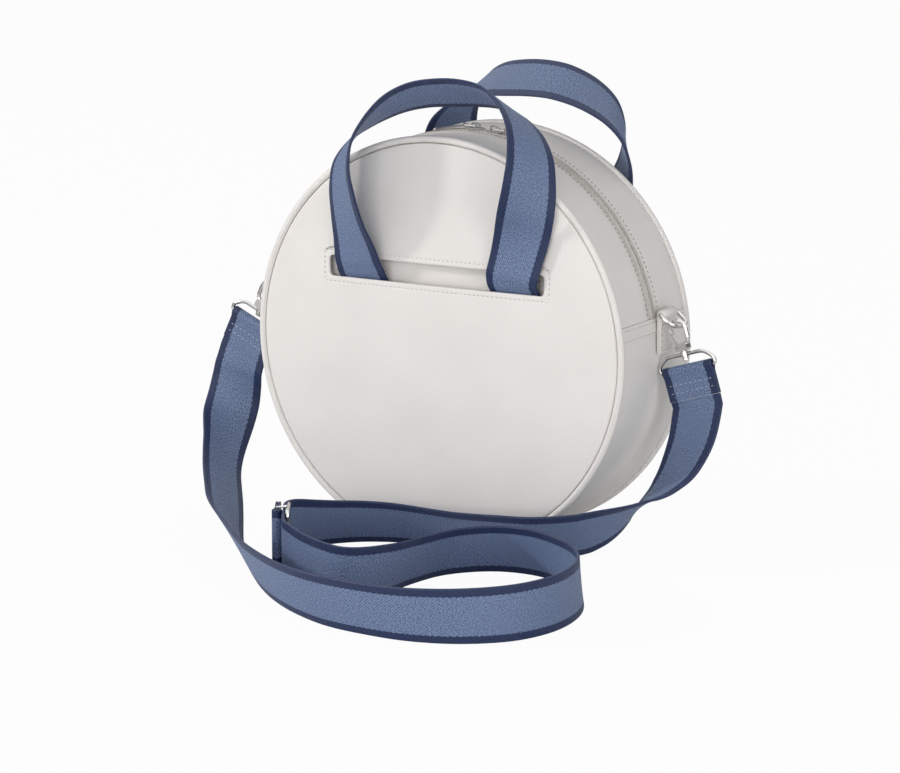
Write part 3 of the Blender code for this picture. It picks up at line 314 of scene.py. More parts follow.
def woven_webbing(name, colours, sizes):
    """Filament polyester webbing in a herringbone rib: a soft sheen on the ribs, and painted shade that
    darkens the colour between them, so that the lighter rib tops read as painted highlight.
    """
    material, tree, shader = new_material(name, {
        "Roughness": 0.55, "Sheen Weight": 0.12, "Sheen Roughness": 0.4,
        "Sheen Tint": (*hex_colour("9DB6E6"), 1)})
    flat = material_node(tree, "ShaderNodeUVMap", {"uv_map": "cloth"})
    split = material_node(tree, "ShaderNodeSeparateXYZ", {}, {0: (flat, 0)})

    def waves(across, along):
        part = material_node(tree, "ShaderNodeMath", {"operation": "MULTIPLY", 1: math.tau / across},
                             {0: (split, 0)})
        both = material_node(tree, "ShaderNodeMath", {"operation": "MULTIPLY_ADD", 1: math.tau / along},
                             {0: (split, 1), 2: (part, 0)})
        return material_node(tree, "ShaderNodeMath", {"operation": "SINE"}, {0: (both, 0)}), 0

    ticks = material_node(tree, "ShaderNodeMath", {"operation": "MULTIPLY"},
                          {0: waves(RIB_SLANT, RIB), 1: waves(YARN, YARN_SLANT)})
    fuzz = material_node(tree, "ShaderNodeTexNoise",
                         {"Scale": FUZZ_PER_METRE, "Detail": 2.0, "Roughness": 0.6}, {"Vector": (flat, 0)})
    weave = material_node(tree, "ShaderNodeMath", {"operation": "MULTIPLY", 1: 0.45}, {0: (ticks, 0)})
    height = material_node(tree, "ShaderNodeMath", {"operation": "MULTIPLY_ADD", 1: 3.2},
                           {0: (fuzz, 0), 2: (weave, 0)})
    # valley is low in the weave's hollows and high on the ribs: it paints shade into the hollows and painted
    # highlight onto the rib tops, and it sets the roughness
    valley = material_node(tree, "ShaderNodeMapRange", {"From Min": 0.9, "From Max": 2.4},
                           {"Value": (height, 0)})
    # the navy band's inner edge steps with each turn of the weave
    edge = material_node(tree, "ShaderNodeMath", {"operation": "ABSOLUTE"}, {0: (split, 0)})
    wavy = material_node(tree, "ShaderNodeMath", {"operation": "MULTIPLY_ADD", 1: 0.00025},
                         {0: waves(math.inf, SELVEDGE_STEP), 2: (edge, 0)})
    inner = sizes.width / 2 - sizes.navy
    dark = material_node(tree, "ShaderNodeMapRange", {"From Min": inner - 0.0002, "From Max": inner + 0.0002},
                         {"Value": (wavy, 0)})
    # painted shade: the navy, like the blue, is darkened in the hollows between the ribs
    shade, blends = [value * 0.72 for value in colours.navy], []
    for low, high in ((colours.blue_valley_shade, colours.blue), (shade, colours.navy)):
        ends = {"data_type": "RGBA", 6: (*low, 1), 7: (*high, 1)}
        blends.append((material_node(tree, "ShaderNodeMix", ends, {0: (valley, 0)}), 2))
    colour = material_node(tree, "ShaderNodeMix", {"data_type": "RGBA"},
                           {0: (dark, 0), 6: blends[0], 7: blends[1]})
    dress(tree, shader, (colour, 2), (height, 0), 0.45, 0.0004, (0.62, 0.34, (valley, 0)))
    return material


def polished_nickel(name, tone):
    """Nickel-plated zinc, tumbled and buffed: mirror-bright with faint haze from handling."""
    haze = ("ShaderNodeTexNoise", {"Scale": HAZE_PER_METRE, "Detail": 3.0}, 0)
    return marked(name, {"Roughness": 0.16, "Metallic": 1.0}, tone, 0.86, haze, (0.06, 0.0003), (0.10, 0.26))


def spun_thread(name, tone):
    """Three-ply polyester thread: matt, with the twist of its plies."""
    plies = ("ShaderNodeTexNoise", {"Scale": PLIES_PER_METRE}, 0)
    return marked(name, {"Roughness": 0.75}, tone, 0.7, plies, (0.4, 0.0002))


def zip_cloth(name, tone, rib, roughness):
    """Polyester zip tape, woven in fine ribs along its length, with painted shade darkening it between the
    ribs; the coil is the same nylon, smoother.
    """
    ribs = ("ShaderNodeTexWave", {"Scale": 1 / rib, "bands_direction": "Y", "Distortion": 1.0}, 1)
    return marked(name, {"Roughness": roughness}, tone, 0.8, ribs, (0.35, 0.0002))


def pressed_board(name, tone):
    """Pressed fibreboard: matt, with short fibres in its face."""
    fibres = ("ShaderNodeTexNoise", {"Scale": FIBRES_PER_METRE, "Detail": 5.0}, 0)
    return marked(name, {"Roughness": 0.85}, tone, 0.75, fibres, (0.3, 0.0003))


def finish_of(scene, word):
    """The bag's finish of that name, made the first time it is asked for."""
    if word in bpy.data.materials:
        return bpy.data.materials[word]
    colours = scene.bag_colours
    make, *settings = {
        "pressed_grain_leather": (finished_leather, colours, FACE_GRAIN, 0.20),
        "skived_edge_leather": (finished_leather, colours, EDGE_GRAIN, 0.12),
        "woven_polyester_webbing": (woven_webbing, colours, scene.bag_webbing),
        "polished_nickel": (polished_nickel, colours.nickel),
        "spun_leather_thread": (spun_thread, colours.thread),
        "spun_webbing_thread": (spun_thread, colours.pale_thread),
        "woven_zip_tape": (zip_cloth, colours.tape, TAPE_RIB, 0.8),
        "moulded_nylon_coil": (zip_cloth, colours.tape, COIL_RIB, 0.45),
        "pressed_fibreboard": (pressed_board, colours.board),
    }[word]
    return make(word, *settings)


def arc(radius, start, end, steps):
    """Points of a circle's arc about zero, from one angle to another in degrees."""
    angles = [math.radians(start + (end - start) * step / steps) for step in range(steps + 1)]
    return [(radius * math.cos(angle), radius * math.sin(angle)) for angle in angles]


def spaced(points, count):
    """That many points at even distances round a closed outline."""
    ring = [Vector(point) for point in points]
    reach = [0.0]
    for index, point in enumerate(ring):
        reach.append(reach[-1] + (ring[(index + 1) % len(ring)] - point).length)
    result, piece = [], 0
    for step in range(count):
        goal = reach[-1] * step / count
        while reach[piece + 1] < goal:
            piece += 1
        share = (goal - reach[piece]) / max(reach[piece + 1] - reach[piece], 1e-9)
        result.append(ring[piece].lerp(ring[(piece + 1) % len(ring)], share))
    return result


def smooth_rows(rows, pieces):
    """Points and width directions on a smooth curve through these rows of six values."""
    result = []
    for index, here in enumerate(rows[:-1]):
        before, after = rows[max(index - 1, 0)], rows[index + 1]
        beyond = rows[min(index + 2, len(rows) - 1)]
        for piece in range(pieces):
            t = piece / pieces
            result.append([b + (c - a) * t / 2 + (2 * a - 5 * b + 4 * c - d) * t * t / 2
                           + (3 * b - a - 3 * c + d) * t * t * t / 2
                           for a, b, c, d in zip(before, here, after, beyond)])
    result.append(rows[-1])
    return [(Vector(row[:3]), Vector(row[3:]).normalized()) for row in result]


def in_shares(rows):
    """The rows of a webbing's line as shares and width directions."""
    return [[value / unit for value, unit in zip(row, ROW_UNITS)] for row in rows]


def eased(stations, passes):
    """The same stations with their width directions turning evenly from each to the next."""
    directions = [across.copy() for _, across in stations]
    for _ in range(passes):
        inner = [(directions[index - 1] + directions[index] * 2 + directions[index + 1]).normalized()
                 for index in range(1, len(directions) - 1)]
        directions = [directions[0]] + inner + [directions[-1]]
    return [(centre, across) for (centre, _), across in zip(stations, directions)]


def skin(name, rings, closed=False, cloth=None):
    """A piece over rings of points; cloth gives each point its place on the flat cloth, in metres."""
    count, corners = len(rings), len(rings[0])
    faces = []
    for ring in range(count if closed else count - 1):
        here, there = ring * corners, (ring + 1) % count * corners
        for side in range(corners):
            after = (side + 1) % corners
            faces.append((here + side, here + after, there + after, there + side))
    if not closed:
        faces.append(tuple(range(corners - 1, -1, -1)))
        faces.append(tuple(range((count - 1) * corners, count * corners)))
    obj = joined(name, [point for ring in rings for point in ring], faces)
    if cloth:
        layer = obj.data.uv_layers.new(name="cloth")
        for loop in obj.data.loops:
            layer.data[loop.index].uv = cloth[loop.vertex_index]
    return obj


def joined(name, points, faces):
    """A piece in the scene made of these points and faces, turned outwards."""
    mesh = bpy.data.meshes.new(name)
    mesh.from_pydata(points, [], faces)
    work = bmesh.new()
    work.from_mesh(mesh)
    bmesh.ops.recalc_face_normals(work, faces=work.faces)
    work.to_mesh(mesh)
    work.free()
    obj = bpy.data.objects.new(name, mesh)
    bpy.context.scene.collection.objects.link(obj)
    return obj


def finished(obj, finish, body=None, nodes=(), angle=40):
    """Gives a piece its material, its shading and its place on the frame."""
    obj.data.materials.clear()
    obj.data.materials.append(finish_of(bpy.context.scene, finish))
    obj.data.shade_smooth()
    obj.data.set_sharp_from_angle(angle=math.radians(angle))
    if nodes:
        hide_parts(*nodes)
    if body:
        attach(obj, body)


def across_bend(obj):
    """Bakes the piece's placing into its points; it is not bent where the opened front folds forward."""
    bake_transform(obj)


def rim_point(radius, angle, y):
    """A point of the drum's outline, which is pressed flat at the floor."""
    height = max(CENTRE_Z + radius * math.sin(angle), RIM_RADIUS - radius)
    return Vector((radius * math.cos(angle), y, height))


def rim_axes(angle):
    """The directions outwards and onwards at this angle round the drum."""
    return Vector((math.cos(angle), 0, math.sin(angle))), Vector((-math.sin(angle), 0, math.cos(angle)))


def hook_axes(side):
    """The directions down and across one hook as it hangs."""
    tilt = math.radians(HOOK_TILT[side])
    fall = Vector((side * math.sin(tilt), 0, -math.cos(tilt)))
    return fall, Vector((side * math.cos(tilt), 0, math.sin(tilt)))


def face_y(body, x, z):
    """How far the leather face lies from the bag's middle."""
    share = min(1.0, math.hypot(x, z - CENTRE_Z) / PANEL_RADIUS)
    return PANEL_REACH - body.crown * share * share


def slit_outline(body, grow, count):
    """The slit's rounded outline, grown by this much, as points of (x, z)."""
    round_by = body.slit_height * SLIT_CORNER
    across, rise = body.slit_length / 2 - round_by, body.slit_height / 2 - round_by
    points = [(across + round_by + grow, 0)]
    for start, x, z in ((0, across, rise), (90, -across, rise), (180, -across, -rise), (270, across, -rise)):
        points += [(x + a, z + b) for a, b in arc(round_by + grow, start, start + 90, 8)]
    middle = CENTRE_Z + body.slit_rise
    return [(point.x, middle + point.y) for point in spaced(points, count)]


def leather_face(name, body, steps, side):
    """A crowned face, its rim turned in beside the piping and its slit lipped with a rolled edge."""
    thread = bpy.context.scene.bag_webbing.thread
    seam_at = body.wall * SEAM_INSET

    def ring(outline, sink, emboss=0.0):
        points = []
        for x, z in outline:
            cloud = noise.noise(Vector((x / FACE_CLOUD, side * 3, z / FACE_CLOUD))) * body.fold_depth * 0.12
            depth = face_y(body, x, z) - sink + emboss + cloud * (sink <= 0)
            points.append(Vector((x, side * depth, z)))
        return points

    def rim(inset):
        points = [rim_point(PANEL_RADIUS - inset, math.tau * step / steps, 0) for step in range(steps)]
        return [(point.x, point.z) for point in points]

    def between(first, second, share):
        return [(a[0] + (b[0] - a[0]) * share, a[1] + (b[1] - a[1]) * share) for a, b in zip(first, second)]

    # from the rim's back edge over its turn, across the face to the seam, and down the slit's lip to the back
    edge, near = rim(body.wall * 0.8), slit_outline(body, seam_at * 1.6, steps)
    rings = [ring(rim(body.wall * inset), body.wall * sink)
             for inset, sink in ((0, 1), (0, 0.6), (0.12, 0.25), (0.4, 0.05))]
    rings += [ring(between(edge, near, share / 22), 0) for share in range(23)]
    for grow in (1.3, 1.12, 1.0, 0.88, 0.7, 0.45, 0.2):
        dip = -thread * 0.35 * math.exp(-(((grow - 1) / 0.12) ** 2))
        swell = thread * 0.3 * max(0.0, math.sin(math.pi * min(grow, 1.0)))
        rings.append(ring(slit_outline(body, seam_at * grow, steps), 0, dip + swell))
    for turn in (15, 40, 65, 90):
        c, s = math.cos(math.radians(turn)), math.sin(math.radians(turn))
        lip = slit_outline(body, seam_at * 0.12 * (1 - s), steps)
        rings.append(ring(lip, body.wall * 0.2 * (1 - c) + 1e-6))
    rings.append(ring(slit_outline(body, 0, steps), body.wall))
    rings += [ring(between(near, edge, share / 5), body.wall) for share in range(6)]
    return skin(name, rings, closed=True)


def drum_strip(name, body, low_y, high_y, above, steps, columns, relief):
    """A strip of the drum's side with its edges turned down, over or under the line where the front bends."""
    height = BEND_Z + GAP if above else BEND_Z
    profile = []
    for column in range(columns + 1):
        y = low_y + (high_y - low_y) * column / columns
        border = min(y - low_y, high_y - y) / body.wall
        profile.append((y, -body.wall * 0.35 * max(0.0, 1 - border) ** 2, True))
    profile += [(high_y, -body.wall, False), (low_y, -body.wall, False)]
    rings = []
    for step in range(steps + 1):
        ring = []
        for y, drop, shown in profile:
            radius = BAND_RADIUS + drop
            start = math.asin((height - CENTRE_Z) / radius)
            end = math.pi - start if above else -math.pi - start
            angle = start + (end - start) * step / steps
            if shown:
                radius += relief(angle, y)
            ring.append(rim_point(radius, angle, y))
        rings.append(ring)
    return skin(name, rings)


def webbing_sweep(name, sizes, stations, on_floor=False):
    """Flat webbing along stations of a centre and its width direction, and the length it takes."""
    half, wall = sizes.width / 2, sizes.wall / 2
    inner = half - wall * 0.7
    side = [(inner * share, wall) for share in (1, 0.7, 0.35, 0, -0.35, -0.7, -1)]
    side = [(half, wall * 0.35), *side, (-half, wall * 0.35)]
    section = side + [(u, -w) for u, w in reversed(side)]
    rings, cloth, length = [], [], 0.0
    for index, (centre, across) in enumerate(stations):
        before, after = stations[max(index - 1, 0)][0], stations[min(index + 1, len(stations) - 1)][0]
        tangent = (after - before).normalized()
        across = (across - tangent * across.dot(tangent)).normalized()
        through = tangent.cross(across).normalized()
        if index:
            length += (centre - before).length
        ring = [centre + across * u + through * w for u, w in section]
        if on_floor:
            lift = Vector((0, 0, max(0.0, -min(point.z for point in ring))))
            ring = [point + lift for point in ring]
        rings.append(ring)
        cloth += [(u, length) for u, _ in section]
    return skin(name, rings, cloth=cloth), length


def thread_seam(name, sizes, places, finish, body):
    """One stitch, modelled once and copied to each place of a centre, a direction along and one outwards."""
    work = bmesh.new()
    bmesh.ops.create_uvsphere(work, u_segments=6, v_segments=4, radius=0.5)
    work.verts.ensure_lookup_table()
    stitch = [vertex.co.copy() for vertex in work.verts]
    faces = [[vertex.index for vertex in face.verts] for face in work.faces]
    work.free()
    points, sides = [], []
    for centre, along, out in places:
        across = out.cross(along).normalized()
        first = len(points)
        for corner in stitch:
            points.append(centre + along * corner.z * sizes.stitch_length
                          + (across * corner.x + out * corner.y) * sizes.thread)
        sides += [[first + index for index in face] for face in faces]
    finished(joined(name, points, sides), finish, body, angle=80)


def row_places(sizes, start, end, out):
    """Stitches in a straight row."""
    along = (end - start).normalized()
    count = max(2, int((end - start).length / sizes.stitch_pitch))
    return [(start.lerp(end, (index + 0.5) / count), along, out) for index in range(count)]


def box_places(sizes, corners, out):
    """Stitches round a box with these corners."""
    places = []
    for corner, after in zip(corners, corners[1:] + corners[:1]):
        places += row_places(sizes, corner, after, out)
    return places


class TRAVELBAG_OT_faces(bpy.types.Operator):
    """Makes the two crowned leather faces with their handle slits"""

    bl_idname = "travelbag.faces"
    bl_label = "Leather Faces"

    def execute(self, context):
        body, steps = context.scene.bag_body, context.scene.bag_stage.facets
        front = leather_face("front_leather_face", body, steps, -1)
        finished(front, "pressed_grain_leather", nodes=("front_panel_lower", "front_panel_upper"))
        across_bend(front)
        back = leather_face("back_leather_face", body, steps, 1)
        finished(back, "pressed_grain_leather", "bag", ("back_panel",))
        return {"FINISHED"}


class TRAVELBAG_OT_piping(bpy.types.Operator):
    """Makes the two rings of leather piping, pressed flat where the bag stands"""

    bl_idname = "travelbag.piping"
    bl_label = "Piping"

    def execute(self, context):
        steps = context.scene.bag_stage.facets
        for name, side in (("front_piping_ring", -1), ("back_piping_ring", 1)):
            bpy.ops.object.select_all(action="DESELECT")
            bpy.ops.mesh.primitive_torus_add(
                major_radius=PIPING_LINE, minor_radius=PIPING_RADIUS, major_segments=steps, minor_segments=14,
                rotation=(math.pi / 2, 0, 0), location=(0, side * PIPING_Y, CENTRE_Z))
            bpy.ops.object.transform_apply()
            ring = context.object
            ring.name = ring.data.name = name
            for vertex in ring.data.vertices:
                angle = math.atan2(vertex.co.z - CENTRE_Z, vertex.co.x)
                low = CENTRE_Z + PIPING_LINE * math.sin(angle)
                vertex.co.z += max(0.0, PIPING_RADIUS - low)
            if side < 0:
                finished(ring, "skived_edge_leather",
                         nodes=("front_piping_lower", "front_piping_upper"))
                across_bend(ring)
            else:
                finished(ring, "skived_edge_leather", "bag", ("back_piping",))
        return {"FINISHED"}


class TRAVELBAG_OT_gusset(bpy.types.Operator):
    """Makes the base band and the two upper gussets beside the zip"""

    bl_idname = "travelbag.gusset"
    bl_label = "Gusset"

    def execute(self, context):
        body, steps = context.scene.bag_body, context.scene.bag_stage.facets
        hem = body.wall * 5

        def creases(angle, y):
            height = CENTRE_Z + BAND_RADIUS * math.sin(angle)
            side = math.copysign(1.0, math.cos(angle))
            near = math.exp(-(((height - BEND_Z) / CREASE_REACH) ** 2)) if height > 0 else 0.0
            swell = sum(share * noise.noise(Vector((height / tall + y / slant, y / wide, side * row)))
                        for share, tall, slant, wide, row in CREASES)
            return near * body.fold_depth * (swell - CREASE_REST)

        def base_relief(angle, y):
            # the band is doubled at its hem, where the creases are shallower
            doubled = CENTRE_Z + BAND_RADIUS * math.sin(angle) > BEND_Z - hem
            return body.wall * 0.22 * doubled + creases(angle, y) * (1 - 0.6 * doubled)

        inner = body.zip_width / 2 + GAP
        band = drum_strip("base_band_leather", body, -BAND_EDGE, BAND_EDGE, False, steps * 2, 16, base_relief)
        finished(band, "pressed_grain_leather", "bag", ("base_band",))
        front = drum_strip("front_gusset_leather", body, -BAND_EDGE, -inner, True, steps, 10, creases)
        finished(front, "pressed_grain_leather", "front_flap", ("front_gusset_upper",))
        rear = drum_strip("rear_gusset_leather", body, inner, BAND_EDGE, True, steps, 10, creases)
        finished(rear, "pressed_grain_leather", "bag", ("rear_gusset_upper",))
        return {"FINISHED"}


class TRAVELBAG_OT_zip(bpy.types.Operator):
    """Makes the two halves of the zip's coil on their tapes"""

    bl_idname = "travelbag.zip"
    bl_label = "Zip"

    def execute(self, context):
        pitch = context.scene.bag_body.tooth_pitch
        crest = TAPE_HIGH - CENTRE_Z
        low = math.asin((BEND_Z - CENTRE_Z) / crest) + pitch / crest
        count = int((math.pi - 2 * low) * crest / pitch)
        wide, rise = pitch * 0.27, pitch * 0.32
        for name, side, rider in (("front_zip_teeth", -1, "front_flap"), ("rear_zip_teeth", 1, "bag")):
            points, faces = [], []
            for index in range(count):
                out, along = rim_axes(low + (math.pi - 2 * low) * (index + 0.25 + 0.5 * (side > 0)) / count)
                first = len(points)
                # four sections of one turn: how far out from the zip's middle, how high, and how thick
                for y, lift, share in ((0, 0.35, 0.8), (0.25, 1.0, 1.0), (0.75, 1.0, 1.0), (1.1, 0.2, 0.7)):
                    middle = Vector((0, side * pitch * 0.28 + side * y * pitch, CENTRE_Z)) + out * crest
                    for a, b in ((-1, -1), (1, -1), (0.6, 1), (-0.6, 1)):
                        points.append(middle + along * wide * a * share
                                      + out * rise * (b * 0.5 * share + lift - 0.6))
                for here in range(first, first + 12, 4):
                    faces += [(here + a, here + (a + 1) % 4, here + 4 + (a + 1) % 4, here + 4 + a)
                              for a in range(4)]
                faces += [(first + 3, first + 2, first + 1, first),
                          (first + 12, first + 13, first + 14, first + 15)]
            finished(joined(name, points, faces), "moulded_nylon_coil", rider, angle=60)
        return {"FINISHED"}


class TRAVELBAG_OT_handles(bpy.types.Operator):
    """Makes the two webbing handles, from inside one end of the slit over the arch to the other"""

    bl_idname = "travelbag.handles"
    bl_label = "Handles"

    def execute(self, context):
        body, sizes = context.scene.bag_body, context.scene.bag_webbing
        slit_z = CENTRE_Z + body.slit_rise
        line = face_y(body, 0, slit_z) + STANDOFF + sizes.wall / 2
        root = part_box("back_handle_left_root")[0]
        deep, drop = line - (root.y + sizes.wall / 2), slit_z - root.z
        for word, side, base in (("front", -1, "front_flap"), ("back", 1, "bag")):
            rows = [(x * body.slit_length, side * (line + forward * BAG_DIAMETER),
                     slit_z + rise * BAG_DIAMETER, a, -side * b, c)
                    for x, forward, rise, a, b, c in in_shares(HANDLE_ROWS)]
            left, right = ([(Vector((row[0], side * (line - deep * share), slit_z - drop * fall)),
                             Vector((across, 0, 0))) for share, fall in ROOT_SHARES]
                           for row, across in ((rows[0], -1), (rows[-1], 1)))
            arch = smooth_rows(rows, 7)
            for centre, _ in arch:
                # the feet lean back towards the roots
                near = max(0.0, 1 - (centre.z - slit_z) / (sizes.wall * 4))
                centre.y -= side * deep * ROOT_SHARES[0][0] * 0.75 * near * near
            stations = eased(left[::-1] + arch + right, 10)
            handle, length = webbing_sweep(f"{word}_handle_webbing", sizes, stations)
            nodes = (f"{word}_handle", f"{word}_handle_left_root", f"{word}_handle_right_root")
            finished(handle, "woven_polyester_webbing", nodes=nodes)
            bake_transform(handle)
        return {"FINISHED"}


class TRAVELBAG_OT_strap(bpy.types.Operator):
    """Makes the shoulder strap on the floor, with its sewn ends and the tail at the adjuster"""

    bl_idname = "travelbag.strap"
    bl_label = "Shoulder Strap"

    def execute(self, context):
        sizes = context.scene.bag_webbing
        rows = [(x * BAG_DIAMETER, y * BAG_DIAMETER, z * BAG_DIAMETER, *across)
                for x, y, z, *across in in_shares(STRAP_ROWS)]
        ends, across = [], Vector((0, 1, 0))
        for word, side in SIDES:
            fall, lateral = hook_axes(side)
            low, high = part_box(f"{word}_strap_end")
            bar = (low + high) / 2 + fall * (FOLD_ROUND - SLEEVE_LENGTH) / 2
            sewn_end(f"{word}_strap_end", sizes, bar, (fall, across, lateral), SLEEVE_LENGTH, "bag")
            start = bar + fall * (SLEEVE_LENGTH + GAP)
            ends.append((start, start + fall * STRAP_LEAD, lateral))
        (start, lead_in, first), (end, lead_out, last) = ends
        rows = [(*lead_in, *first)] + rows + [(*lead_out, *last)]
        stations = eased([(start, first)] + smooth_rows(rows, 6) + [(end, last)], 25)
        strap, length = webbing_sweep("shoulder_strap_webbing", sizes, stations, on_floor=True)
        finished(strap, "woven_polyester_webbing", "bag", ("shoulder_webbing",))
        along, up = Vector((*ADJUSTER_LINE, 0)).normalized(), Vector((0, 0, 1))
        out = along.cross(up)
        x, y = (share * BAG_DIAMETER for share in ADJUSTER_PLACE_SHARES)
        centre = Vector((x, y, sizes.width / 2 + GAP + LOOP_WIRE * 2))
        bar = centre - out * (sizes.wall * 1.5 + GAP * 2 + LOOP_WIRE)
        sewn_end("strap_tail", sizes, bar, (along, out, up), ADJUSTER_TAIL, "adjuster")
        return {"FINISHED"}


def sewn_end(node, sizes, bar, axes, reach, rider):
    """Webbing folded round a bar, its two layers lying together below it and sewn through in two rows."""
    fall, through, lateral = axes
    half, turn = sizes.wall / 2, LOOP_WIRE + GAP + sizes.wall / 2
    path = [(-half, reach), (-half, reach * 0.6), (-half, turn * 1.7)]
    path += arc(turn, 155, 385, 20) + [(half, turn * 1.7), (half, reach * 0.6), (half, reach)]
    stations = [(bar + through * a + fall * b, lateral) for a, b in path]
    end, length = webbing_sweep(f"{node}_webbing", sizes, stations)
    finished(end, "woven_polyester_webbing", rider, (node,))
    inset = lateral * (sizes.width / 2 - sizes.wall)
    places = []
    for rise in SEAM_RISES:
        for out in (-through, through):
            middle = bar + fall * rise + out * sizes.wall
            places += row_places(sizes, middle - inset, middle + inset, out)
    thread_seam(f"{node}_stitches", sizes, places, "spun_webbing_thread", rider)


class TRAVELBAG_OT_tabs(bpy.types.Operator):
    """Makes the two leather tabs, folded round the D-rings and sewn down"""

    bl_idname = "travelbag.tabs"
    bl_label = "Side Tabs"

    def execute(self, context):
        sizes = context.scene.bag_webbing
        for word, side in SIDES:
            low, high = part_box(f"{word}_side_tab")
            centre_x, fold = (low.x + high.x) / 2, (high.x - low.x) / 2
            bar_z = high.z - fold
            outer, inner = centre_x + side * (TAB_WALL * 2 - fold), centre_x - side * fold
            outline = [(inner, low.z)]
            outline += [(centre_x + side * a, bar_z + b) for a, b in arc(fold, 180, -50, 28)]
            outline += [(outer, bar_z - fold * 2), (outer, low.z)]
            edges = ((low.y, TAB_EDGE), (low.y + TAB_EDGE, 0), (high.y - TAB_EDGE, 0), (high.y, TAB_EDGE))
            rings = []
            for y, thin in edges:
                ring = []
                for x, z in outline:
                    pull = Vector((centre_x - x, 0, min(bar_z - z, 0))).normalized() * thin
                    ring.append(Vector((x + pull.x, y, z + pull.z + thin * (z == low.z))))
                rings.append(ring)
            tab = skin(f"{word}_tab_leather", rings)
            finished(tab, "pressed_grain_leather", "bag", (f"{word}_side_tab",), angle=50)
            inset = TAB_WALL * 1.4
            left, right, foot, head = low.y + inset, high.y - inset, low.z + inset, bar_z - fold * 2.3
            box = ((left, foot), (right, foot), (right, head), (left, head))
            places = box_places(sizes, [Vector((outer, y, z)) for y, z in box], Vector((side, 0, 0)))
            thread_seam(f"{word}_tab_stitches", sizes, places, "spun_leather_thread", "bag")
        return {"FINISHED"}


class TRAVELBAG_OT_seams(bpy.types.Operator):
    """Sews the slits, the zip's edges and the tops of the base band"""

    bl_idname = "travelbag.seams"
    bl_label = "Seams"

    def execute(self, context):
        body, sizes = context.scene.bag_body, context.scene.bag_webbing
        half, middle = body.slit_length / 2 + body.wall * SEAM_INSET, CENTRE_Z + body.slit_rise
        rise = body.slit_height / 2 + body.wall * 1.6
        crest = BAND_RADIUS - sizes.thread * 0.1
        low = math.asin((BEND_Z + sizes.stitch_pitch - CENTRE_Z) / crest)
        count = int((math.pi - 2 * low) * crest / sizes.stitch_pitch)
        beside = body.zip_width / 2 + body.wall * 1.2
        box = ((half, rise), (-half, rise), (-half, -rise), (half, -rise))
        for word, side, rider in (("front", -1, "front_flap"), ("back", 1, "bag")):
            corners = [Vector((x, 0, middle + z)) for x, z in box]
            places = box_places(sizes, corners, Vector((0, side, 0)))
            for centre, _, _ in places:
                centre.y = side * (face_y(body, centre.x, centre.z) - sizes.thread * 0.3)
            thread_seam(f"{word}_slit_stitches", sizes, places, "spun_leather_thread", rider)
        for word, side, rider in (("front", -1, "front_flap"), ("rear", 1, "bag")):
            places = []
            for index in range(count + 1):
                out, along = rim_axes(low + (math.pi - 2 * low) * index / count)
                places.append((Vector((0, side * beside, CENTRE_Z)) + out * crest, along, out))
            thread_seam(f"{word}_zip_stitches", sizes, places, "spun_leather_thread", rider)
        places = []
        for side in (-1, 1):
            for drop in (body.wall * 1.15, body.wall * 4.4):
                z = BEND_Z - drop - CENTRE_Z
                out = Vector((side * math.sqrt(crest * crest - z ** 2), 0, z)).normalized()
                centre = Vector((0, 0, CENTRE_Z)) + out * (crest + body.wall * 0.2)
                reach = Vector((0, BAND_EDGE - body.wall, 0))
                places += row_places(sizes, centre - reach, centre + reach, out)
        thread_seam("base_band_stitches", sizes, places, "spun_leather_thread", "bag")
        return {"FINISHED"}


def rounded_path(points, radius):
    """A closed path whose corners are rounded."""
    result = []
    for index, corner in enumerate(points):
        before, after = points[index - 1], points[(index + 1) % len(points)]
        reach = min(radius, (before - corner).length * 0.45, (after - corner).length * 0.45)
        start = corner + (before - corner).normalized() * reach
        end = corner + (after - corner).normalized() * reach
        for step in range(ROUND_STEPS + 1):
            t = step / ROUND_STEPS
            result.append(start * (1 - t) * (1 - t) + corner * 2 * t * (1 - t) + end * t * t)
    return result


def wire(name, points, radius, closed):
    """Round wire along a path that lies in one plane."""
    count = len(points)
    normal = (points[count // 3] - points[0]).cross(points[2 * count // 3] - points[0]).normalized()
    rings = []
    for index, point in enumerate(points):
        before = points[index - 1] if closed or index else point
        after = points[(index + 1) % count] if closed or index < count - 1 else point
        beside = (after - before).normalized().cross(normal).normalized()
        turns = [math.tau * side / 16 for side in range(16)]
        rings.append([point + (beside * math.cos(turn) + normal * math.sin(turn)) * radius for turn in turns])
    return skin(name, rings, closed=closed)


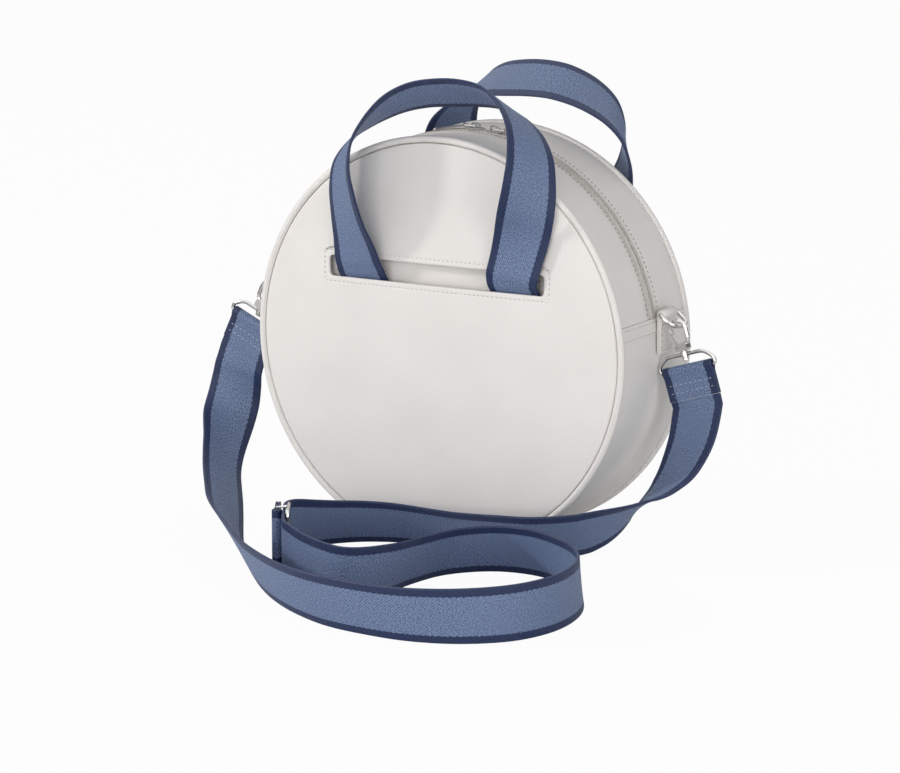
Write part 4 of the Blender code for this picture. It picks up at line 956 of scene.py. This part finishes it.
class TRAVELBAG_OT_rings(bpy.types.Operator):
    """Bends the D-rings and the swivel loops from round wire"""

    bl_idname = "travelbag.rings"
    bl_label = "Rings and Loops"

    def execute(self, context):
        across = Vector((0, 1, 0))
        half = DRING_INNER / 2 + DRING_WIRE
        fold = DRING_WIRE + GAP + TAB_WALL
        narrow, wide = LOOP_TOP_WIDTH / 2, LOOP_BAR_WIDTH / 2
        corners = [(0, 0), (narrow, 0), (wide, LOOP_HEIGHT * 0.55), (wide, LOOP_HEIGHT), (-wide, LOOP_HEIGHT),
                   (-wide, LOOP_HEIGHT * 0.55), (-narrow, 0)]
        reach, round_by = SWIVEL_LENGTH / 2, SWIVEL_RADIUS * 0.15
        inner, outer = SWIVEL_RADIUS - TAB_WALL * 0.7, SWIVEL_RADIUS - round_by
        profile = [(-reach, inner), (-reach, outer), (round_by - reach, SWIVEL_RADIUS),
                   (reach - round_by, SWIVEL_RADIUS), (reach, outer), (reach, inner)]
        turns = [math.tau * step / 24 for step in range(24)]
        for word, side in SIDES:
            swing, (fall, lateral) = math.radians(DRING_SWING[side]), hook_axes(side)
            low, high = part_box(f"{word}_side_tab")
            bar = Vector((side * (BAND_RADIUS + GAP + fold), (low.y + high.y) / 2, high.z - fold))
            down = Vector((side * math.sin(swing), 0, -math.cos(swing)))
            path = [bar + across * (DRING_WIRE - half), bar + across * (half - DRING_WIRE)]
            path += [bar + across * math.copysign(abs(a) ** DRING_ROUND, a) * half
                     + down * DRING_DROP * b ** DRING_ROUND for a, b in arc(1, 8, 172, 41)]
            ring = wire(f"{word}_d_ring_wire", path, DRING_WIRE, True)
            finished(ring, "polished_nickel", f"{word}_d_ring", (f"{word}_d_ring",))
            # the hook hangs a little beside the ring's middle, and the loop hangs under it
            shifted = (HOOK_SHIFT / half) ** (1 / DRING_ROUND)
            hung = (bar + down * DRING_DROP * math.sqrt(1 - shifted * shifted) ** DRING_ROUND
                    - across * HOOK_SHIFT)
            top = hung + fall * LOOP_TOP
            path = [top + lateral * a + fall * b for a, b in corners]
            path = rounded_path(path, LOOP_ROUND)[ROUND_STEPS + 1 :]
            mouth = lateral * SWIVEL_RADIUS * 0.8
            loop = wire(f"{word}_loop_wire", [top + mouth, *path, top - mouth], LOOP_WIRE, False)
            finished(loop, "polished_nickel", "bag", (f"{word}_swivel_loop",))
            rings = [[top + fall * place + (lateral * math.cos(turn) + across * math.sin(turn)) * radius
                      for turn in turns] for place, radius in profile]
            finished(skin(f"{word}_swivel_barrel", rings, closed=True), "polished_nickel", "bag")
        return {"FINISHED"}


class TRAVELBAG_OT_finishes(bpy.types.Operator):
    """Gives the fittings, the zip tapes, the slit backings and the base board of the frame their finishes"""

    bl_idname = "travelbag.finishes"
    bl_label = "Fittings and Linings"

    def execute(self, context):
        wanted = {"zip_tape": "woven_zip_tape", "pocket": "pressed_grain_leather",
                  "board": "pressed_fibreboard"}
        for name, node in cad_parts.items():
            finish = next((finish for word, finish in wanted.items() if word in name), "polished_nickel")
            material = finish_of(context.scene, finish)
            if not node.material_slots:
                node.data.materials.append(material)
            for place in node.material_slots:
                place.material = material
        return {"FINISHED"}


def aimed(name, data, place, aim):
    """A lamp or a camera in the scene, turned to a point."""
    obj = bpy.data.objects.new(name, data)
    bpy.context.scene.collection.objects.link(obj)
    obj.location = place
    obj.rotation_euler = (Vector(aim) - Vector(place)).to_track_quat("-Z", "Y").to_euler()
    return obj


class TRAVELBAG_OT_stage(bpy.types.Operator):
    """Sets the white floor, the surroundings, the lamps and the camera"""

    bl_idname = "travelbag.stage"
    bl_label = "Stage"

    def execute(self, context):
        scene, stage = context.scene, context.scene.bag_stage
        bpy.ops.object.select_all(action="DESELECT")
        bpy.ops.mesh.primitive_plane_add(size=9, location=(0, 0, -GAP))
        bpy.ops.object.transform_apply()
        floor = context.object
        floor.name = floor.data.name = "floor"
        paper, world = bpy.data.materials.new("matt_white_paper"), bpy.data.worlds.new("white_studio")
        for surface in (paper, world):
            surface.use_nodes = True
            surface.node_tree.nodes.clear()
        # the camera sees most of the paper as plain white, and the rest shows the bag's shadow
        tree = paper.node_tree
        path = material_node(tree, "ShaderNodeLightPath")
        matt = material_node(tree, "ShaderNodeBsdfDiffuse", {"Color": (0.92, 0.92, 0.92, 1)})
        white = material_node(tree, "ShaderNodeEmission", {"Color": (1, 1, 1, 1)})
        share = material_node(tree, "ShaderNodeMath", {"operation": "MULTIPLY", 1: stage.white},
                              {0: (path, 0)})
        both = material_node(tree, "ShaderNodeMixShader", {}, {0: (share, 0), 1: (matt, 0), 2: (white, 0)})
        material_node(tree, "ShaderNodeOutputMaterial", {}, {0: (both, 0)})
        floor.data.materials.append(paper)

        # in reflections the walls are darker than the ceiling, so that polished metal shows its shape
        scene.world, tree = world, world.node_tree
        path = material_node(tree, "ShaderNodeLightPath")
        place = material_node(tree, "ShaderNodeTexCoord")
        split = material_node(tree, "ShaderNodeSeparateXYZ", {}, {0: (place, "Generated")})
        rise = material_node(tree, "ShaderNodeMapRange", {"From Min": 0.05, "From Max": 0.6, "To Min": 0.08,
                                                          "To Max": 1.3}, {"Value": (split, 2)})
        soft = material_node(tree, "ShaderNodeBackground",
                             {"Color": (0.97, 0.985, 1, 1), "Strength": stage.sky})
        walls = material_node(tree, "ShaderNodeBackground", {"Color": (1, 1, 1, 1)}, {"Strength": (rise, 0)})
        room = material_node(tree, "ShaderNodeMixShader", {}, {0: (path, "Is Glossy Ray"), 1: (soft, 0),
                                                               2: (walls, 0)})
        white = material_node(tree, "ShaderNodeBackground", {"Color": (1, 1, 1, 1), "Strength": 1.0})
        both = material_node(tree, "ShaderNodeMixShader", {}, {0: (path, 0), 1: (room, 0), 2: (white, 0)})
        material_node(tree, "ShaderNodeOutputWorld", {}, {0: (both, 0)})

        for name, place, size, power, colour in (
                ("key_lamp", (-3.6, -2.4, 1.9), 0.5, stage.key, (1, 0.985, 0.97)),
                ("fill_lamp", (0.4, -2.6, 0.4), 1.6, stage.fill, (1, 1, 1)),
                ("low_lamp", (1.9, -1.1, 0.25), 1.0, stage.fill * 0.55, (1, 1, 1))):
            data = bpy.data.lights.new(name, "AREA")
            data.size, data.energy, data.color = size, power, colour
            aimed(name, data, place, (0, 0, CENTRE_Z))

        data = bpy.data.cameras.new("camera")
        data.lens, data.sensor_width, data.clip_end = stage.lens, 36, 50
        scene.camera = aimed("camera", data, CAMERA_PLACE, CAMERA_AIM)
        scene.view_settings.view_transform = "Standard"
        return {"FINISHED"}


class TRAVELBAG_PT_panel(bpy.types.Panel):
    """Lists the bag's pieces and sizes in the sidebar"""

    bl_idname = "TRAVELBAG_PT_panel"
    bl_label = "Round Travel Bag"
    bl_space_type = "VIEW_3D"
    bl_region_type = "UI"
    bl_category = "Travel Bag"

    def draw(self, context):
        for operator in OPERATORS:
            self.layout.operator(operator.bl_idname)
        for word in GROUPS:
            group = getattr(context.scene, word)
            box = self.layout.box()
            for name in group.bl_rna.properties.keys():
                if name not in ("rna_type", "name"):
                    box.prop(group, name)


OPERATORS = (
    TRAVELBAG_OT_stage, TRAVELBAG_OT_faces, TRAVELBAG_OT_piping, TRAVELBAG_OT_gusset, TRAVELBAG_OT_zip,
    TRAVELBAG_OT_handles, TRAVELBAG_OT_strap, TRAVELBAG_OT_tabs, TRAVELBAG_OT_rings,
    TRAVELBAG_OT_seams, TRAVELBAG_OT_finishes,
)
GROUPS = {
    "bag_body": TravelBagBody,
    "bag_webbing": TravelBagWebbing,
    "bag_colours": TravelBagColours,
    "bag_stage": TravelBagStage,
}


def register():
    for group in GROUPS.values():
        bpy.utils.register_class(group)
    for operator in OPERATORS:
        bpy.utils.register_class(operator)
    bpy.utils.register_class(TRAVELBAG_PT_panel)
    for word, group in GROUPS.items():
        setattr(bpy.types.Scene, word, PointerProperty(type=group))


def unregister():
    for word in GROUPS:
        delattr(bpy.types.Scene, word)
    bpy.utils.unregister_class(TRAVELBAG_PT_panel)
    for operator in reversed(OPERATORS):
        bpy.utils.unregister_class(operator)
    for group in reversed(list(GROUPS.values())):
        bpy.utils.unregister_class(group)


def main():
    register()
    bpy.ops.travelbag.stage()
    bpy.ops.travelbag.faces()
    bpy.ops.travelbag.piping()
    bpy.ops.travelbag.gusset()
    bpy.ops.travelbag.zip()
    bpy.ops.travelbag.handles()
    bpy.ops.travelbag.strap()
    bpy.ops.travelbag.tabs()
    bpy.ops.travelbag.rings()
    bpy.ops.travelbag.seams()
    bpy.ops.travelbag.finishes()


if __name__ == "__main__":
    main()
